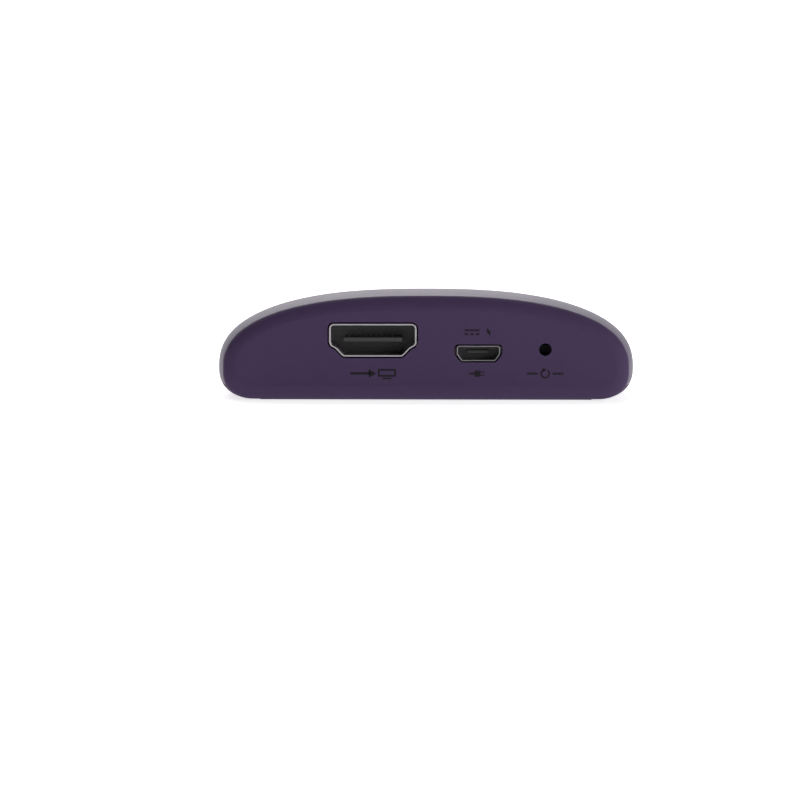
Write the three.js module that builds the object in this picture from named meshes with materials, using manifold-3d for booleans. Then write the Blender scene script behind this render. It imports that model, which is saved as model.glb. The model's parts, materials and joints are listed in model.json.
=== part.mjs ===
// Streaming media player: a small arched set-top box with its ports in the flat rear face.
// Millimetres, +Z up. The origin is at the middle of the underside, the rear port face looks
// along +Y and the front, with its infrared window, looks along -Y.

import * as THREE from 'three';
import { mergeVertices } from 'three/addons/utils/BufferGeometryUtils.js';
import Module from 'manifold-3d';

const wasm = await Module();
wasm.setup();

// ---------------------------------------------------------------- driving dimensions

// Case: every level of it is the same rounded plan outline, drawn larger or smaller.
const CASE_WIDTH = 73;
const CASE_DEPTH = 37;
const CASE_HEIGHT = 18.5;
const WIDEST_LEVEL = 4.9;        // height of the widest level
const WIDEST_FROM_FRONT = 20.5;  // front tip to the widest cross-section
const REAR_REACH = 33;           // where the plan outline would close behind the widest section
const LOWER_CORNER = 4.8;        // how far the flanks tuck in under the widest level
const CURVE_POWER = 2.5;         // 2 is an ellipse, higher is squarer
const CORNER_POWER = 2.3;        // the same for the tucked-in lower corner
const TIGHTEST_CORNER = 0.5;     // the least the lower corner of an inner form tucks in

const WALL = 1.6;
const FLOOR = 1.6;
const REAR_WALL = 2.2;
const ROLL_DEPTH = 1.5;          // rolled edge round the rear face, measured along Y
const ROLL_WIDTH = 2.3;          // the same edge, measured across the rear face
const PARTING_LEVEL = 2.4;       // height of the seam between base and cover
const FIT_GAP = 0.3;             // clearance between parts that nest
const LIP = 0.9;                 // thickness of the locating lip inside the cover
const LIP_TOP = 4.4;
const CATCH_DEPTH = 0.6;
const CATCH_LENGTH = 6;
const CATCH_BELOW_LIP = 0.3;     // top of the lip to the top of a catch
const CATCH_HEIGHT = 0.5;
const CATCH_FRONT_SHARE = 0.2;   // middle of the case to a front catch, as a share of its width
const OVERCUT = 1;               // how far cutting tools run past what they cut

// Circuit board and what holds it
const BOSS_HEIGHT = 4.2;
const BOSS_DIAMETER = 4.4;
const BOARD_THICKNESS = 1;
const BOARD_CLEARANCE = 1;       // board edge to the inside of the cover
const BOARD_FRONT_ROOM = 4.5;    // front tip of the case to the straight front edge of the board
const BOSS_FROM_EDGE = 4.3;
const BOSS_FROM_REAR = 7.3;      // inside of the rear wall to the rear bosses
const BOSS_FROM_FRONT = 5.5;     // front edge of the board to the front bosses
const SCREW_DIAMETER = 1.9;
const SCREW_LENGTH = 4.5;
const BOARD_HOLE = 2.3;          // diameter
const SCREW_POINT = 0.4;         // length of the tapered end
const SCREW_TAPER = 0.25;        // how much thinner in radius the end is
const SCREW_HEAD = 3.6;
const SCREW_HEAD_RIM = 0.5;      // straight part of the head's edge
const SCREW_HEAD_HEIGHT = 1.25;
const RECESS_LENGTH = 2;         // cross recess in the head
const RECESS_WIDTH = 0.45;
const SCREW_STEPS = 12;
const SOLDER = 0.1;              // standoff of soldered chips

// Video socket: the standard 19-contact receptacle
const VIDEO_FROM_MIDDLE = 1.5;   // middle of the case to the near edge of the socket
const VIDEO_WIDTH = 14.8;
const VIDEO_HEIGHT = 5.6;
const VIDEO_LENGTH = 11.8;
const VIDEO_LIFT = 0.7;          // underside of the shell above the board
const VIDEO_SHEET = 0.35;
const VIDEO_TONGUE_WIDTH = 9.9;
const VIDEO_TONGUE_THICKNESS = 0.75;
const VIDEO_ROUND = 0.8;         // upper corners and shoulders of the outline
const LEG_LENGTH = 1.2;
const LEG_BELOW_BOARD = 0.6;
const LEG_FROM_BACK = 2;         // back of the shell to the rearmost legs
const LEG_FROM_WALL = 2.5;       // inside of the rear wall to the other legs
const LEG_SLOT = 1.8;

// Power socket: the standard micro receptacle
const POWER_X = -8.9;
const POWER_WIDTH = 7.6;
const POWER_HEIGHT = 2.6;
const POWER_LENGTH = 5.4;
const POWER_SHEET = 0.3;
const POWER_TONGUE_WIDTH = 3.7;
const POWER_TONGUE_THICKNESS = 0.6;
const POWER_ROUND = 0.4;

const PORT_RECESS = 0.2;         // sockets sit this far inside the rear face
const PORT_CLEARANCE = 0.22;     // gap between a socket and its cut-out
const INSULATOR_SHARE = 0.22;    // share of a socket's length filled by its insulator block
const INSULATOR_CLEARANCE = 0.1;
const TONGUE_RECESS = 0.7;       // mouth of the socket to the tip of the tongue
const TONGUE_ROOT = 0.5;         // how far the tongue starts inside the block

// Reset switch behind its pinhole
const RESET_X = -20.15;
const RESET_LIFT = 1.95;         // pinhole axis above the board
const PINHOLE_DIAMETER = 2.1;
const SWITCH_WIDTH = 4.4;
const SWITCH_DEPTH = 2.2;
const SWITCH_WALL = 0.5;
const SWITCH_COVER = 0.25;
const SWITCH_FROM_WALL = 1.2;    // inside of the rear wall to the face of the switch
const STEM_WIDTH = 1.9;
const STEM_HEIGHT = 1.2;
const STEM_CLEARANCE = 0.1;
const PLUNGER_FLANGE = 0.45;     // thickness of the collar that keeps the plunger in
const FLANGE_EXTRA_WIDTH = 0.9;
const FLANGE_EXTRA_HEIGHT = 0.8;
const PLUNGER_SLACK = 0.05;
const PLUNGER_TRAVEL = 0.25;
const DOME_RADIUS = 1;           // snap dome
const DOME_RISE = 0.35;
const DOME_SHEET = 0.1;

// Infrared window and what sits behind it
const WINDOW_WIDTH = 16;
const WINDOW_HEIGHT = 5;
const WINDOW_LIFT = 2.4;         // window centre above the board
const WINDOW_FLANGE = 1.2;
const WINDOW_GAP = 0.2;
const WINDOW_SETBACK = 0.1;      // face of the window behind the skin of the case
const RECEIVER_X = 3.4;
const RECEIVER_FROM_EDGE = 1.2;  // front edge of the board to the receiver
const RECEIVER_WIDTH = 5.2;
const RECEIVER_DEPTH = 2.6;
const RECEIVER_HEIGHT = 5.2;
const RECEIVER_LENS = 1.4;       // radius
const RECEIVER_GAP = 0.15;       // receiver to its shield
const RECEIVER_SHEET = 0.25;
const LAMP_X = -4;
const LAMP_FROM_EDGE = 1;
const LAMP_WIDTH = 3;
const LAMP_DEPTH = 1.2;
const LAMP_HEIGHT = 1.8;
const LAMP_LENS = 1.6;           // diameter
const LAMP_LENS_MARGIN = 0.3;    // lens to the top and foot of the lamp

// Shields, cooling and chips
const SHIELD_WIDTH = 22.4;
const SHIELD_DEPTH = 14.5;
const SHIELD_FROM_REAR = 5.3;    // rear edge of the board to the shield
const SHIELD_FROM_BOSSES = 3.4;  // left bosses to the shield
const SHIELD_SHEET = 0.2;
const SHIELD_RIM = 1;            // width of the frame's turned-in rim
const LID_CLEARANCE = 0.1;
const LID_ABOVE_BOARD = 0.4;
const CAN_CORNER = 0.5;
const VENT_DIAMETER = 1.2;
const VENT_SPACING = 2.5;
const CHIP_CORNER = 0.3;
const CHIP_HEIGHT = 1.2;
const SOC_SIZE = 12;
const SOC_FROM_SHIELD = 1;
const MEMORY_WIDTH = 7.6;
const MEMORY_DEPTH = 12;
const MEMORY_HEIGHT = 1;
const MEMORY_FROM_SHIELD = 4.7;  // right side of the shield to the middle of the memory
const PAD_MARGIN = 1;            // how much smaller the lower pad is than the processor
const LOWER_PAD = 0.5;
const UPPER_PAD = 1;
const SPREADER_SHEET = 0.8;
const SPREADER_OVERHANG = 0.65;  // shield to the spreader's folded side
const SPREADER_GAP = 0.6;        // spreader to the antennas and the receiver's shield
const FOOT_WIDTH = 4;
const FOOT_REACH = 2.2;          // how far a foot goes on past its screw
const FOOT_HOLE_EXTRA = 0.4;     // foot's hole over the screw
const WIFI_SHIELD_WIDTH = 11;
const WIFI_SHIELD_DEPTH = 9.5;
const WIFI_SHIELD_HEIGHT = 1.8;
const WIFI_FROM_VIDEO = 6.2;     // middle of the video socket to the middle of the wireless shield
const WIFI_BEHIND_VIDEO = 1;     // back of the video socket to the wireless shield
const ANTENNA_HEIGHT = 4.5;
const ANTENNA_LENGTH = 8;
const ANTENNA_WIDTH = 1.4;
const ANTENNA_X = 16;
const ANTENNA_CLEARANCE = 0.8;   // to the inside of the cover
const ANTENNA_SHEET = 0.3;
const ANTENNA_LEG_SPACING = 2.5;

// Small parts: packages by width, depth and height, and where they stand
const POWER_CHIP = [3, 3, 0.8];
const INDUCTOR = [4, 4, 2];
const INDUCTOR_CORNER = 0.9;
const INDUCTOR_SPACING = 5;
const INDUCTOR_FROM_VIDEO = 2.8;
const INPUT_CAPACITOR = [3.2, 2.6, 1.9];
const BULK_CAPACITOR = [3.2, 1.6, 1.6];
const BULK_SPACING = 2.5;
const BULK_FROM_VIDEO = 3;       // back of the video socket to the first bulk capacitor
const BULK_FROM_SHIELD = 4.5;
const WIFI_CHIP = [5, 5, 0.9];
const WIFI_CHIP_X = -1.6;        // from the middle of the wireless shield
const WIFI_CRYSTAL = [2, 2.5, 0.6];
const WIFI_CRYSTAL_X = 3.4;
const SOC_CRYSTAL = [2.5, 3.2, 0.8];
const FLASH_CHIP = [4, 5, 1.3];
const FLASH_LEGS = 4;            // along each side
const POWER_ROW_FROM_REAR = 2.6; // rear edge of the board to the row of power parts
const POWER_CHIP_FROM_REAR = 3.2;
const POWER_CHIP_X = 7.1;        // from the power socket
const INPUT_CAPACITOR_X = -6.4;  // from the power socket

// Smoothness of the faceted forms
const PLAN_STEPS = 48;
const DOME_STEPS = 10;
const CORNER_STEPS = 4;
const ROLL_STEPS = 4;
const ROUND_STEPS = 16;

// ---------------------------------------------------------------- places worked out from them

const REAR_Y = CASE_DEPTH / 2;
const FRONT_Y = -CASE_DEPTH / 2;
const WIDEST_Y = FRONT_Y + WIDEST_FROM_FRONT;
const PARTING_Y = REAR_Y - ROLL_DEPTH;
const REAR_WALL_INSIDE = REAR_Y - REAR_WALL;
const LIP_INSET = WALL + FIT_GAP;

const BOARD_BOTTOM = FLOOR + BOSS_HEIGHT;
const BOARD_TOP = BOARD_BOTTOM + BOARD_THICKNESS;
const BOARD_REAR = REAR_WALL_INSIDE - FIT_GAP;
const BOARD_FRONT = FRONT_Y + BOARD_FRONT_ROOM;
const BOSS_REAR_Y = REAR_WALL_INSIDE - BOSS_FROM_REAR;
const BOSS_FRONT_Y = BOARD_FRONT + BOSS_FROM_FRONT;

const PORT_MOUTH = REAR_Y - PORT_RECESS;
const VIDEO_X = VIDEO_FROM_MIDDLE + VIDEO_WIDTH / 2;
const VIDEO_EDGE = VIDEO_FROM_MIDDLE + VIDEO_WIDTH;
const VIDEO_Z = BOARD_TOP + VIDEO_LIFT + VIDEO_HEIGHT / 2;
const VIDEO_BACK = PORT_MOUTH - VIDEO_LENGTH;
const POWER_Z = BOARD_TOP + POWER_HEIGHT / 2;
const RESET_Z = BOARD_TOP + RESET_LIFT;
const WINDOW_Z = BOARD_TOP + WINDOW_LIFT;
const RECEIVER_FRONT = BOARD_FRONT + RECEIVER_FROM_EDGE;

const SHIELD_Y = BOARD_REAR - SHIELD_FROM_REAR - SHIELD_DEPTH / 2;
const LID_TOP = BOARD_TOP + SOLDER + CHIP_HEIGHT + LOWER_PAD + SHIELD_SHEET;
const SPREADER_BOTTOM = LID_TOP + UPPER_PAD;

// ---------------------------------------------------------------- solids and joins

/** A closed three.js geometry as a manifold solid: shared corners merged, empty faces dropped. */
function solid(geometry) {
  const bare = geometry.clone();
  bare.deleteAttribute('normal');
  bare.deleteAttribute('uv');
  const merged = mergeVertices(bare);
  const corners = merged.index.array;
  const kept = [];
  for (let i = 0; i < corners.length; i += 3) {
    const [a, b, c] = [corners[i], corners[i + 1], corners[i + 2]];
    if (a !== b && b !== c && c !== a) kept.push(a, b, c);
  }
  const mesh = new wasm.Mesh({
    numProp: 3,
    vertProperties: new Float32Array(merged.attributes.position.array),
    triVerts: new Uint32Array(kept),
  });
  return new wasm.Manifold(mesh);
}

/** A manifold solid back as a three.js geometry. */
function toGeometry(body) {
  const mesh = body.getMesh();
  const geometry = new THREE.BufferGeometry();
  geometry.setAttribute('position', new THREE.BufferAttribute(mesh.vertProperties, 3));
  geometry.setIndex(new THREE.BufferAttribute(mesh.triVerts, 1));
  geometry.computeVertexNormals();
  return geometry;
}

const joined = (bodies) => bodies.reduce((whole, body) => whole.add(body));

/** A box from its middle in X and Y and its two levels. */
function block(width, depth, low, high, x = 0, y = 0) {
  const geometry = new THREE.BoxGeometry(width, depth, high - low);
  geometry.translate(x, y, (low + high) / 2);
  return solid(geometry);
}

/** A box given by its lowest and highest corners. */
function span(x0, x1, y0, y1, z0, z1) {
  return block(x1 - x0, y1 - y0, z0, z1, (x0 + x1) / 2, (y0 + y1) / 2);
}

/** A shape drawn in X and Z, given thickness along Y and ending at rearY. */
function alongDepth(shape, length, rearY, x = 0, z = 0, bevel = {}) {
  const options = { depth: length, bevelEnabled: false, curveSegments: 4, ...bevel };
  const geometry = new THREE.ExtrudeGeometry(shape, options);
  geometry.rotateX(Math.PI / 2);
  geometry.translate(x, rearY, z);
  return solid(geometry);
}

/** A shape drawn in plan and raised from one level to another. */
function upright(shape, low, high, x = 0, y = 0) {
  const options = { depth: high - low, bevelEnabled: false, curveSegments: 4 };
  const geometry = new THREE.ExtrudeGeometry(shape, options);
  geometry.translate(x, y, low);
  return solid(geometry);
}

/** An upright round rod. */
function rod(diameter, low, high, x, y, steps = ROUND_STEPS) {
  const geometry = new THREE.CylinderGeometry(diameter / 2, diameter / 2, high - low, steps);
  geometry.rotateX(Math.PI / 2);
  geometry.translate(x, y, (low + high) / 2);
  return solid(geometry);
}

/** A turned solid about the vertical, from [radius, level] pairs. */
function turned(pairs, x, y, steps = ROUND_STEPS) {
  const profile = pairs.map(([radius, level]) => new THREE.Vector2(radius, level));
  const geometry = new THREE.LatheGeometry(profile, steps);
  geometry.rotateX(Math.PI / 2);
  geometry.translate(x, y, 0);
  return solid(geometry);
}

/** A rounded rectangle about its own middle. */
function roundedRectangle(width, height, radius) {
  const [w, h] = [width / 2, height / 2];
  const shape = new THREE.Shape();
  shape.moveTo(w, -h + radius);
  shape.absarc(w - radius, h - radius, radius, 0, Math.PI / 2);
  shape.absarc(-w + radius, h - radius, radius, Math.PI / 2, Math.PI);
  shape.absarc(-w + radius, -h + radius, radius, Math.PI, Math.PI * 1.5);
  shape.absarc(w - radius, -h + radius, radius, Math.PI * 1.5, Math.PI * 2);
  return shape;
}

/** A flat package with rounded corners, standing on a level. */
function chipBody(width, depth, height, x, y, low = BOARD_TOP + SOLDER, radius = CHIP_CORNER) {
  return upright(roundedRectangle(width, depth, radius), low, low + height, x, y);
}

// ---------------------------------------------------------------- the case form

const ROUNDING = 2 / CURVE_POWER;
const CORNER_ROUNDING = 2 / CORNER_POWER;
const signedPower = (value) => Math.sign(value) * Math.abs(value) ** ROUNDING;

/** How wide the case is at each level, as shares of its full width, from floor to crown. */
function levelsOf(inset, floor) {
  const halfWidth = CASE_WIDTH / 2 - inset;
  const corner = Math.max(LOWER_CORNER - inset, TIGHTEST_CORNER);
  const dome = CASE_HEIGHT - WIDEST_LEVEL - inset;
  const levels = [];
  for (let i = 0; i <= CORNER_STEPS; i++) {
    const turn = (i / CORNER_STEPS) * (Math.PI / 2);
    const share = 1 - (corner / halfWidth) * (1 - Math.sin(turn) ** CORNER_ROUNDING);
    const drop = (WIDEST_LEVEL - floor) * Math.max(Math.cos(turn), 0) ** CORNER_ROUNDING;
    levels.push([share, WIDEST_LEVEL - drop]);
  }
  for (let i = 1; i < DOME_STEPS; i++) {
    const turn = (i / DOME_STEPS) * (Math.PI / 2);
    levels.push([Math.cos(turn) ** ROUNDING, WIDEST_LEVEL + dome * Math.sin(turn) ** ROUNDING]);
  }
  levels.push([0, WIDEST_LEVEL + dome]);
  return levels;
}

/** The whole case outline as one solid, drawn in by an inset; it runs on behind the rear face. */
function caseForm(inset, floor = inset) {
  const halfWidth = CASE_WIDTH / 2 - inset;
  const front = WIDEST_FROM_FRONT - inset;
  const rear = REAR_REACH - inset;
  const levels = [[0, floor], ...levelsOf(inset, floor)];
  const profile = levels.map(([share, level]) => new THREE.Vector2(share, level));
  const geometry = new THREE.LatheGeometry(profile, PLAN_STEPS);
  geometry.rotateX(Math.PI / 2);
  const place = geometry.attributes.position;
  for (let i = 0; i < place.count; i++) {
    const share = Math.hypot(place.getX(i), place.getY(i));
    if (share < 1e-6) {
      place.setXY(i, 0, WIDEST_Y);
    } else {
      const across = signedPower(place.getX(i) / share);
      const along = signedPower(place.getY(i) / share);
      const reach = along > 0 ? rear : front;
      place.setXY(i, halfWidth * share * across, WIDEST_Y + reach * share * along);
    }
  }
  return solid(geometry);
}

/** The case's cross-section at a place along Y behind its widest section. */
function caseSection(inset, y) {
  const halfWidth = CASE_WIDTH / 2 - inset;
  const gone = ((y - WIDEST_Y) / (REAR_REACH - inset)) ** CURVE_POWER;
  const crown = (1 - gone) ** (1 / CURVE_POWER);
  const dome = CASE_HEIGHT - WIDEST_LEVEL - inset;
  const points = [];
  const archSteps = 2 * DOME_STEPS;
  for (let i = 0; i <= archSteps; i++) {
    const turn = (i / archSteps) * Math.PI;
    const x = halfWidth * crown * signedPower(Math.cos(turn));
    points.push(new THREE.Vector2(x, WIDEST_LEVEL + dome * crown * Math.sin(turn) ** ROUNDING));
  }
  const corner = levelsOf(inset, inset).slice(0, CORNER_STEPS);
  const cornerPoint = ([share, level], side) => {
    const x = halfWidth * (share ** CURVE_POWER - gone) ** (1 / CURVE_POWER);
    return new THREE.Vector2(side * x, level);
  };
  points.push(...corner.toReversed().map((level) => cornerPoint(level, -1)));
  points.push(...corner.map((level) => cornerPoint(level, 1)));
  return new THREE.Shape(points);
}

const FAR = CASE_WIDTH + CASE_DEPTH;
const below = (level) => span(-FAR, FAR, -FAR, FAR, -FAR, level);
const above = (level) => span(-FAR, FAR, -FAR, FAR, level, FAR);
const inFrontOf = (y) => span(-FAR, FAR, -FAR, y, -FAR, FAR);
const behind = (y) => span(-FAR, FAR, y, FAR, -FAR, FAR);

// ---------------------------------------------------------------- port outlines

/** The video socket's outline: wide top, shoulders stepping in to a narrow foot. */
function videoOutline(grow) {
  const [w, h] = [VIDEO_WIDTH / 2 + grow, VIDEO_HEIGHT / 2 + grow];
  const foot = VIDEO_WIDTH / 3 + grow / 2;
  const shoulder = VIDEO_WIDTH * 0.41 + grow;
  const shoulderTop = -VIDEO_HEIGHT * 0.12 - grow / 3;
  const shoulderFoot = -VIDEO_HEIGHT * 0.24 - grow;
  const round = VIDEO_ROUND;
  const shape = new THREE.Shape();
  shape.moveTo(-foot, -h);
  shape.lineTo(foot, -h);
  shape.lineTo(shoulder, shoulderFoot);
  shape.quadraticCurveTo(w, shoulderFoot + round / 2, w, shoulderTop + round / 2);
  shape.lineTo(w, h - round);
  shape.quadraticCurveTo(w, h, w - round, h);
  shape.lineTo(-w + round, h);
  shape.quadraticCurveTo(-w, h, -w, h - round);
  shape.lineTo(-w, shoulderTop + round / 2);
  shape.quadraticCurveTo(-w, shoulderFoot + round / 2, -shoulder, shoulderFoot);
  return shape;
}

/** The power socket's outline: wide top, slanted lower corners. */
function powerOutline(grow) {
  const [w, h] = [POWER_WIDTH / 2 + grow, POWER_HEIGHT / 2 + grow];
  const foot = POWER_WIDTH * 0.37 + grow / 2;
  const slantTop = -POWER_HEIGHT * 0.05;
  const round = POWER_ROUND;
  const shape = new THREE.Shape();
  shape.moveTo(-foot, -h);
  shape.lineTo(foot, -h);
  shape.lineTo(w, slantTop);
  shape.lineTo(w, h - round);
  shape.quadraticCurveTo(w, h, w - round, h);
  shape.lineTo(-w + round, h);
  shape.quadraticCurveTo(-w, h, -w, h - round);
  shape.lineTo(-w, slantTop);
  return shape;
}

/** A tube of sheet metal between an outline and the same outline drawn in. */
function socketShell(outline, sheet, length, x, z) {
  const outer = alongDepth(outline(0), length, PORT_MOUTH, x, z);
  const bore = alongDepth(outline(-sheet), length + 2 * OVERCUT, PORT_MOUTH + OVERCUT, x, z);
  return outer.subtract(bore);
}

// ---------------------------------------------------------------- materials

function look(color, roughness, metalness = 0) {
  return new THREE.MeshStandardMaterial({ color, roughness, metalness });
}

const coverPlastic = look(0x4a3a5c, 0.35);
const basePlastic = look(0x41344e, 0.7);
const smokedPlastic = look(0x0d0b10, 0.12);
const boardLaminate = look(0x12301f, 0.5);
const chipResin = look(0x17171a, 0.6);
const socketResin = look(0x141414, 0.55);
const nickelSteel = look(0x8a868b, 0.3, 1);
const shieldSteel = look(0x9a9a9c, 0.4, 1);
const spreaderAluminium = look(0xa9abad, 0.45, 1);
const screwSteel = look(0x55555a, 0.4, 1);
const springBronze = look(0xb08a4a, 0.35, 1);
const padRubber = look(0x8c96a3, 0.9);
const ferrite = look(0x3a3a3d, 0.8);
const capacitorCeramic = look(0xa5835a, 0.6);
const plungerResin = look(0x1b1b1d, 0.5);
const receiverResin = look(0x1e1216, 0.2);
const ledBody = look(0xe9e6dc, 0.4);

const player = new THREE.Group();

function addPart(name, body, material) {
  const mesh = new THREE.Mesh(toGeometry(body), material);
  mesh.name = name;
  player.add(mesh);
}

// ---------------------------------------------------------------- case: base, cover, window

const outerForm = caseForm(0);
const innerForm = caseForm(WALL);
const lipInside = caseForm(LIP_INSET + LIP, FLOOR);

/** Half the board's width at a place along Y. */
function boardHalfWidth(y) {
  const reach = (y > WIDEST_Y ? REAR_REACH : WIDEST_FROM_FRONT) - WALL - BOARD_CLEARANCE;
  const gone = (Math.abs(y - WIDEST_Y) / reach) ** CURVE_POWER;
  return (CASE_WIDTH / 2 - WALL - BOARD_CLEARANCE) * (1 - gone) ** (1 / CURVE_POWER);
}

const bossX = boardHalfWidth(BOSS_FRONT_Y) - BOSS_FROM_EDGE;
const bossPlaces = [
  [-bossX, BOSS_REAR_Y],
  [-bossX, BOSS_FRONT_Y],
  [bossX, BOSS_REAR_Y],
  [bossX, BOSS_FRONT_Y],
];

/** Where the snap catches sit: one on each flank and two along the front. */
function catchRegion(grow) {
  const long = CATCH_LENGTH + 2 * grow;
  const high = LIP_TOP - CATCH_BELOW_LIP + grow;
  const low = high - CATCH_HEIGHT - 2 * grow;
  const flanks = block(FAR, long, low, high, 0, WIDEST_Y);
  const fronts = [-CATCH_FRONT_SHARE, CATCH_FRONT_SHARE].map((share) => (
    block(long, WIDEST_FROM_FRONT, low, high, CASE_WIDTH * share, FRONT_Y + WIDEST_FROM_FRONT / 2)
  ));
  return joined([flanks, ...fronts]);
}

function makeBase() {
  const tray = outerForm.intersect(below(PARTING_LEVEL)).subtract(lipInside);
  const lip = caseForm(LIP_INSET).intersect(below(LIP_TOP)).subtract(lipInside);
  const catches = caseForm(WALL - CATCH_DEPTH)
    .intersect(catchRegion(0))
    .subtract(caseForm(LIP_INSET + LIP / 2, FLOOR));
  const cup = joined([tray, lip, catches]).intersect(inFrontOf(PARTING_Y));

  const roll = {
    bevelEnabled: true,
    bevelThickness: ROLL_DEPTH,
    bevelSize: ROLL_WIDTH,
    bevelOffset: -ROLL_WIDTH,
    bevelSegments: ROLL_STEPS,
  };
  const panel = alongDepth(caseSection(0, PARTING_Y), 1, PARTING_Y, 0, 0, roll);
  const rearFace = panel.intersect(behind(PARTING_Y));
  const plate = caseForm(LIP_INSET)
    .intersect(behind(REAR_WALL_INSIDE))
    .intersect(inFrontOf(REAR_Y - ROLL_DEPTH / 2));
  const heelHalf = CASE_WIDTH / 4;
  const heel = span(-heelHalf, heelHalf, REAR_WALL_INSIDE, PARTING_Y, FLOOR / 2, LIP_TOP);

  const bosses = bossPlaces.map(([x, y]) => rod(BOSS_DIAMETER, FLOOR / 2, BOARD_BOTTOM, x, y));
  const bores = bossPlaces.map(([x, y]) => {
    const low = BOARD_TOP - SCREW_LENGTH - FIT_GAP;
    return rod(SCREW_DIAMETER + FIT_GAP, low, BOARD_BOTTOM + OVERCUT, x, y);
  });

  const throughWall = (shape, x, z) => (
    alongDepth(shape, REAR_WALL + 2 * OVERCUT, REAR_Y + OVERCUT, x, z)
  );
  const videoCut = throughWall(videoOutline(PORT_CLEARANCE), VIDEO_X, VIDEO_Z);
  const powerCut = throughWall(powerOutline(PORT_CLEARANCE), POWER_X, POWER_Z);
  const pinholeShape = new THREE.Shape().absarc(0, 0, PINHOLE_DIAMETER / 2, 0, Math.PI * 2);
  const pinhole = throughWall(pinholeShape, RESET_X, RESET_Z);

  return joined([cup, rearFace, plate, heel, ...bosses])
    .subtract(joined([videoCut, powerCut, pinhole, ...bores]));
}

const windowShape = (grow) => {
  const height = WINDOW_HEIGHT + 2 * grow;
  return roundedRectangle(WINDOW_WIDTH + 2 * grow, height, height / 2 - 0.01);
};
const windowPrism = (grow) => alongDepth(windowShape(grow), CASE_DEPTH / 2, 0, 0, WINDOW_Z)
  .intersect(inFrontOf(BOARD_FRONT));

function makeCover() {
  const pockets = caseForm(WALL - CATCH_DEPTH - FIT_GAP).intersect(catchRegion(FIT_GAP));
  return outerForm
    .intersect(above(PARTING_LEVEL + FIT_GAP))
    .intersect(inFrontOf(PARTING_Y - FIT_GAP))
    .subtract(innerForm)
    .subtract(pockets)
    .subtract(windowPrism(WINDOW_GAP));
}

function makeWindow() {
  const back = WALL + WINDOW_GAP + LIP;
  const lens = caseForm(WINDOW_SETBACK).subtract(caseForm(back)).intersect(windowPrism(0));
  const flange = caseForm(WALL + WINDOW_GAP)
    .subtract(caseForm(back))
    .intersect(windowPrism(WINDOW_FLANGE));
  return lens.add(flange);
}

addPart('base_shell', makeBase(), basePlastic);
addPart('top_cover', makeCover(), coverPlastic);
addPart('ir_window', makeWindow(), smokedPlastic);

// ---------------------------------------------------------------- board and screws

const legX = VIDEO_WIDTH / 2 - VIDEO_SHEET / 2;
const legPlaces = [VIDEO_BACK + LEG_FROM_BACK, REAR_WALL_INSIDE - LEG_FROM_WALL];

function makeBoard() {
  const outline = [];
  const sideSteps = 10;
  for (let i = 0; i <= sideSteps; i++) {
    const y = BOARD_REAR + (BOARD_FRONT - BOARD_REAR) * (i / sideSteps);
    outline.push(new THREE.Vector2(boardHalfWidth(y), y));
  }
  const mirrored = outline.toReversed().map((point) => new THREE.Vector2(-point.x, point.y));
  const sheet = new THREE.Shape([...outline, ...mirrored]);
  for (const [x, y] of bossPlaces) {
    sheet.holes.push(new THREE.Path().absarc(x, y, BOARD_HOLE / 2, 0, Math.PI * 2));
  }
  const slots = legPlaces.flatMap((y) => [-legX, legX].map((x) => {
    const slotWidth = VIDEO_SHEET + 2 * FIT_GAP;
    return block(slotWidth, LEG_SLOT, BOARD_BOTTOM - OVERCUT, BOARD_TOP + OVERCUT, VIDEO_X + x, y);
  }));
  return upright(sheet, BOARD_BOTTOM, BOARD_TOP).subtract(joined(slots));
}

/** A pan-head screw with a cross recess, its head resting on a level. */
function makeScrew(x, y, seat) {
  const shank = SCREW_DIAMETER / 2;
  const head = SCREW_HEAD / 2;
  const body = turned([
    [0, seat - SCREW_LENGTH],
    [shank - SCREW_TAPER, seat - SCREW_LENGTH],
    [shank, seat - SCREW_LENGTH + SCREW_POINT],
    [shank, seat],
    [head, seat],
    [head, seat + SCREW_HEAD_RIM],
    [head - SCREW_HEAD_RIM, seat + SCREW_HEAD_HEIGHT * 0.88],
    [0, seat + SCREW_HEAD_HEIGHT],
  ], x, y, SCREW_STEPS);
  const slot = (width, depth) => block(width, depth, seat + SCREW_HEAD_RIM, seat + SCREW_HEAD, x, y);
  return body.subtract(slot(RECESS_LENGTH, RECESS_WIDTH)).subtract(slot(RECESS_WIDTH, RECESS_LENGTH));
}

addPart('main_board', makeBoard(), boardLaminate);
bossPlaces.forEach(([x, y], i) => {
  const seat = BOARD_TOP + (x < 0 ? SPREADER_SHEET : 0);
  addPart(`board_screw_${i + 1}`, makeScrew(x, y, seat), screwSteel);
});

// ---------------------------------------------------------------- video and power sockets

function makeVideoShell() {
  const tube = socketShell(videoOutline, VIDEO_SHEET, VIDEO_LENGTH, VIDEO_X, VIDEO_Z);
  const legs = legPlaces.flatMap((y) => [-legX, legX].map((x) => (
    block(VIDEO_SHEET, LEG_LENGTH, BOARD_BOTTOM - LEG_BELOW_BOARD, VIDEO_Z, VIDEO_X + x, y)
  )));
  return joined([tube, ...legs]);
}

/** A socket's insulator: a block filling the back of the shell and the tongue it carries. */
function makeInsulator(outline, sheet, length, x, z, tongueWidth, tongueThickness) {
  const blockLength = length * INSULATOR_SHARE;
  const back = PORT_MOUTH - length;
  const plug = alongDepth(outline(-sheet - INSULATOR_CLEARANCE), blockLength, back + blockLength, x, z);
  const [halfWidth, half] = [tongueWidth / 2, tongueThickness / 2];
  const [root, tip] = [back + TONGUE_ROOT, PORT_MOUTH - TONGUE_RECESS];
  return plug.add(span(x - halfWidth, x + halfWidth, root, tip, z - half, z + half));
}

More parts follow.
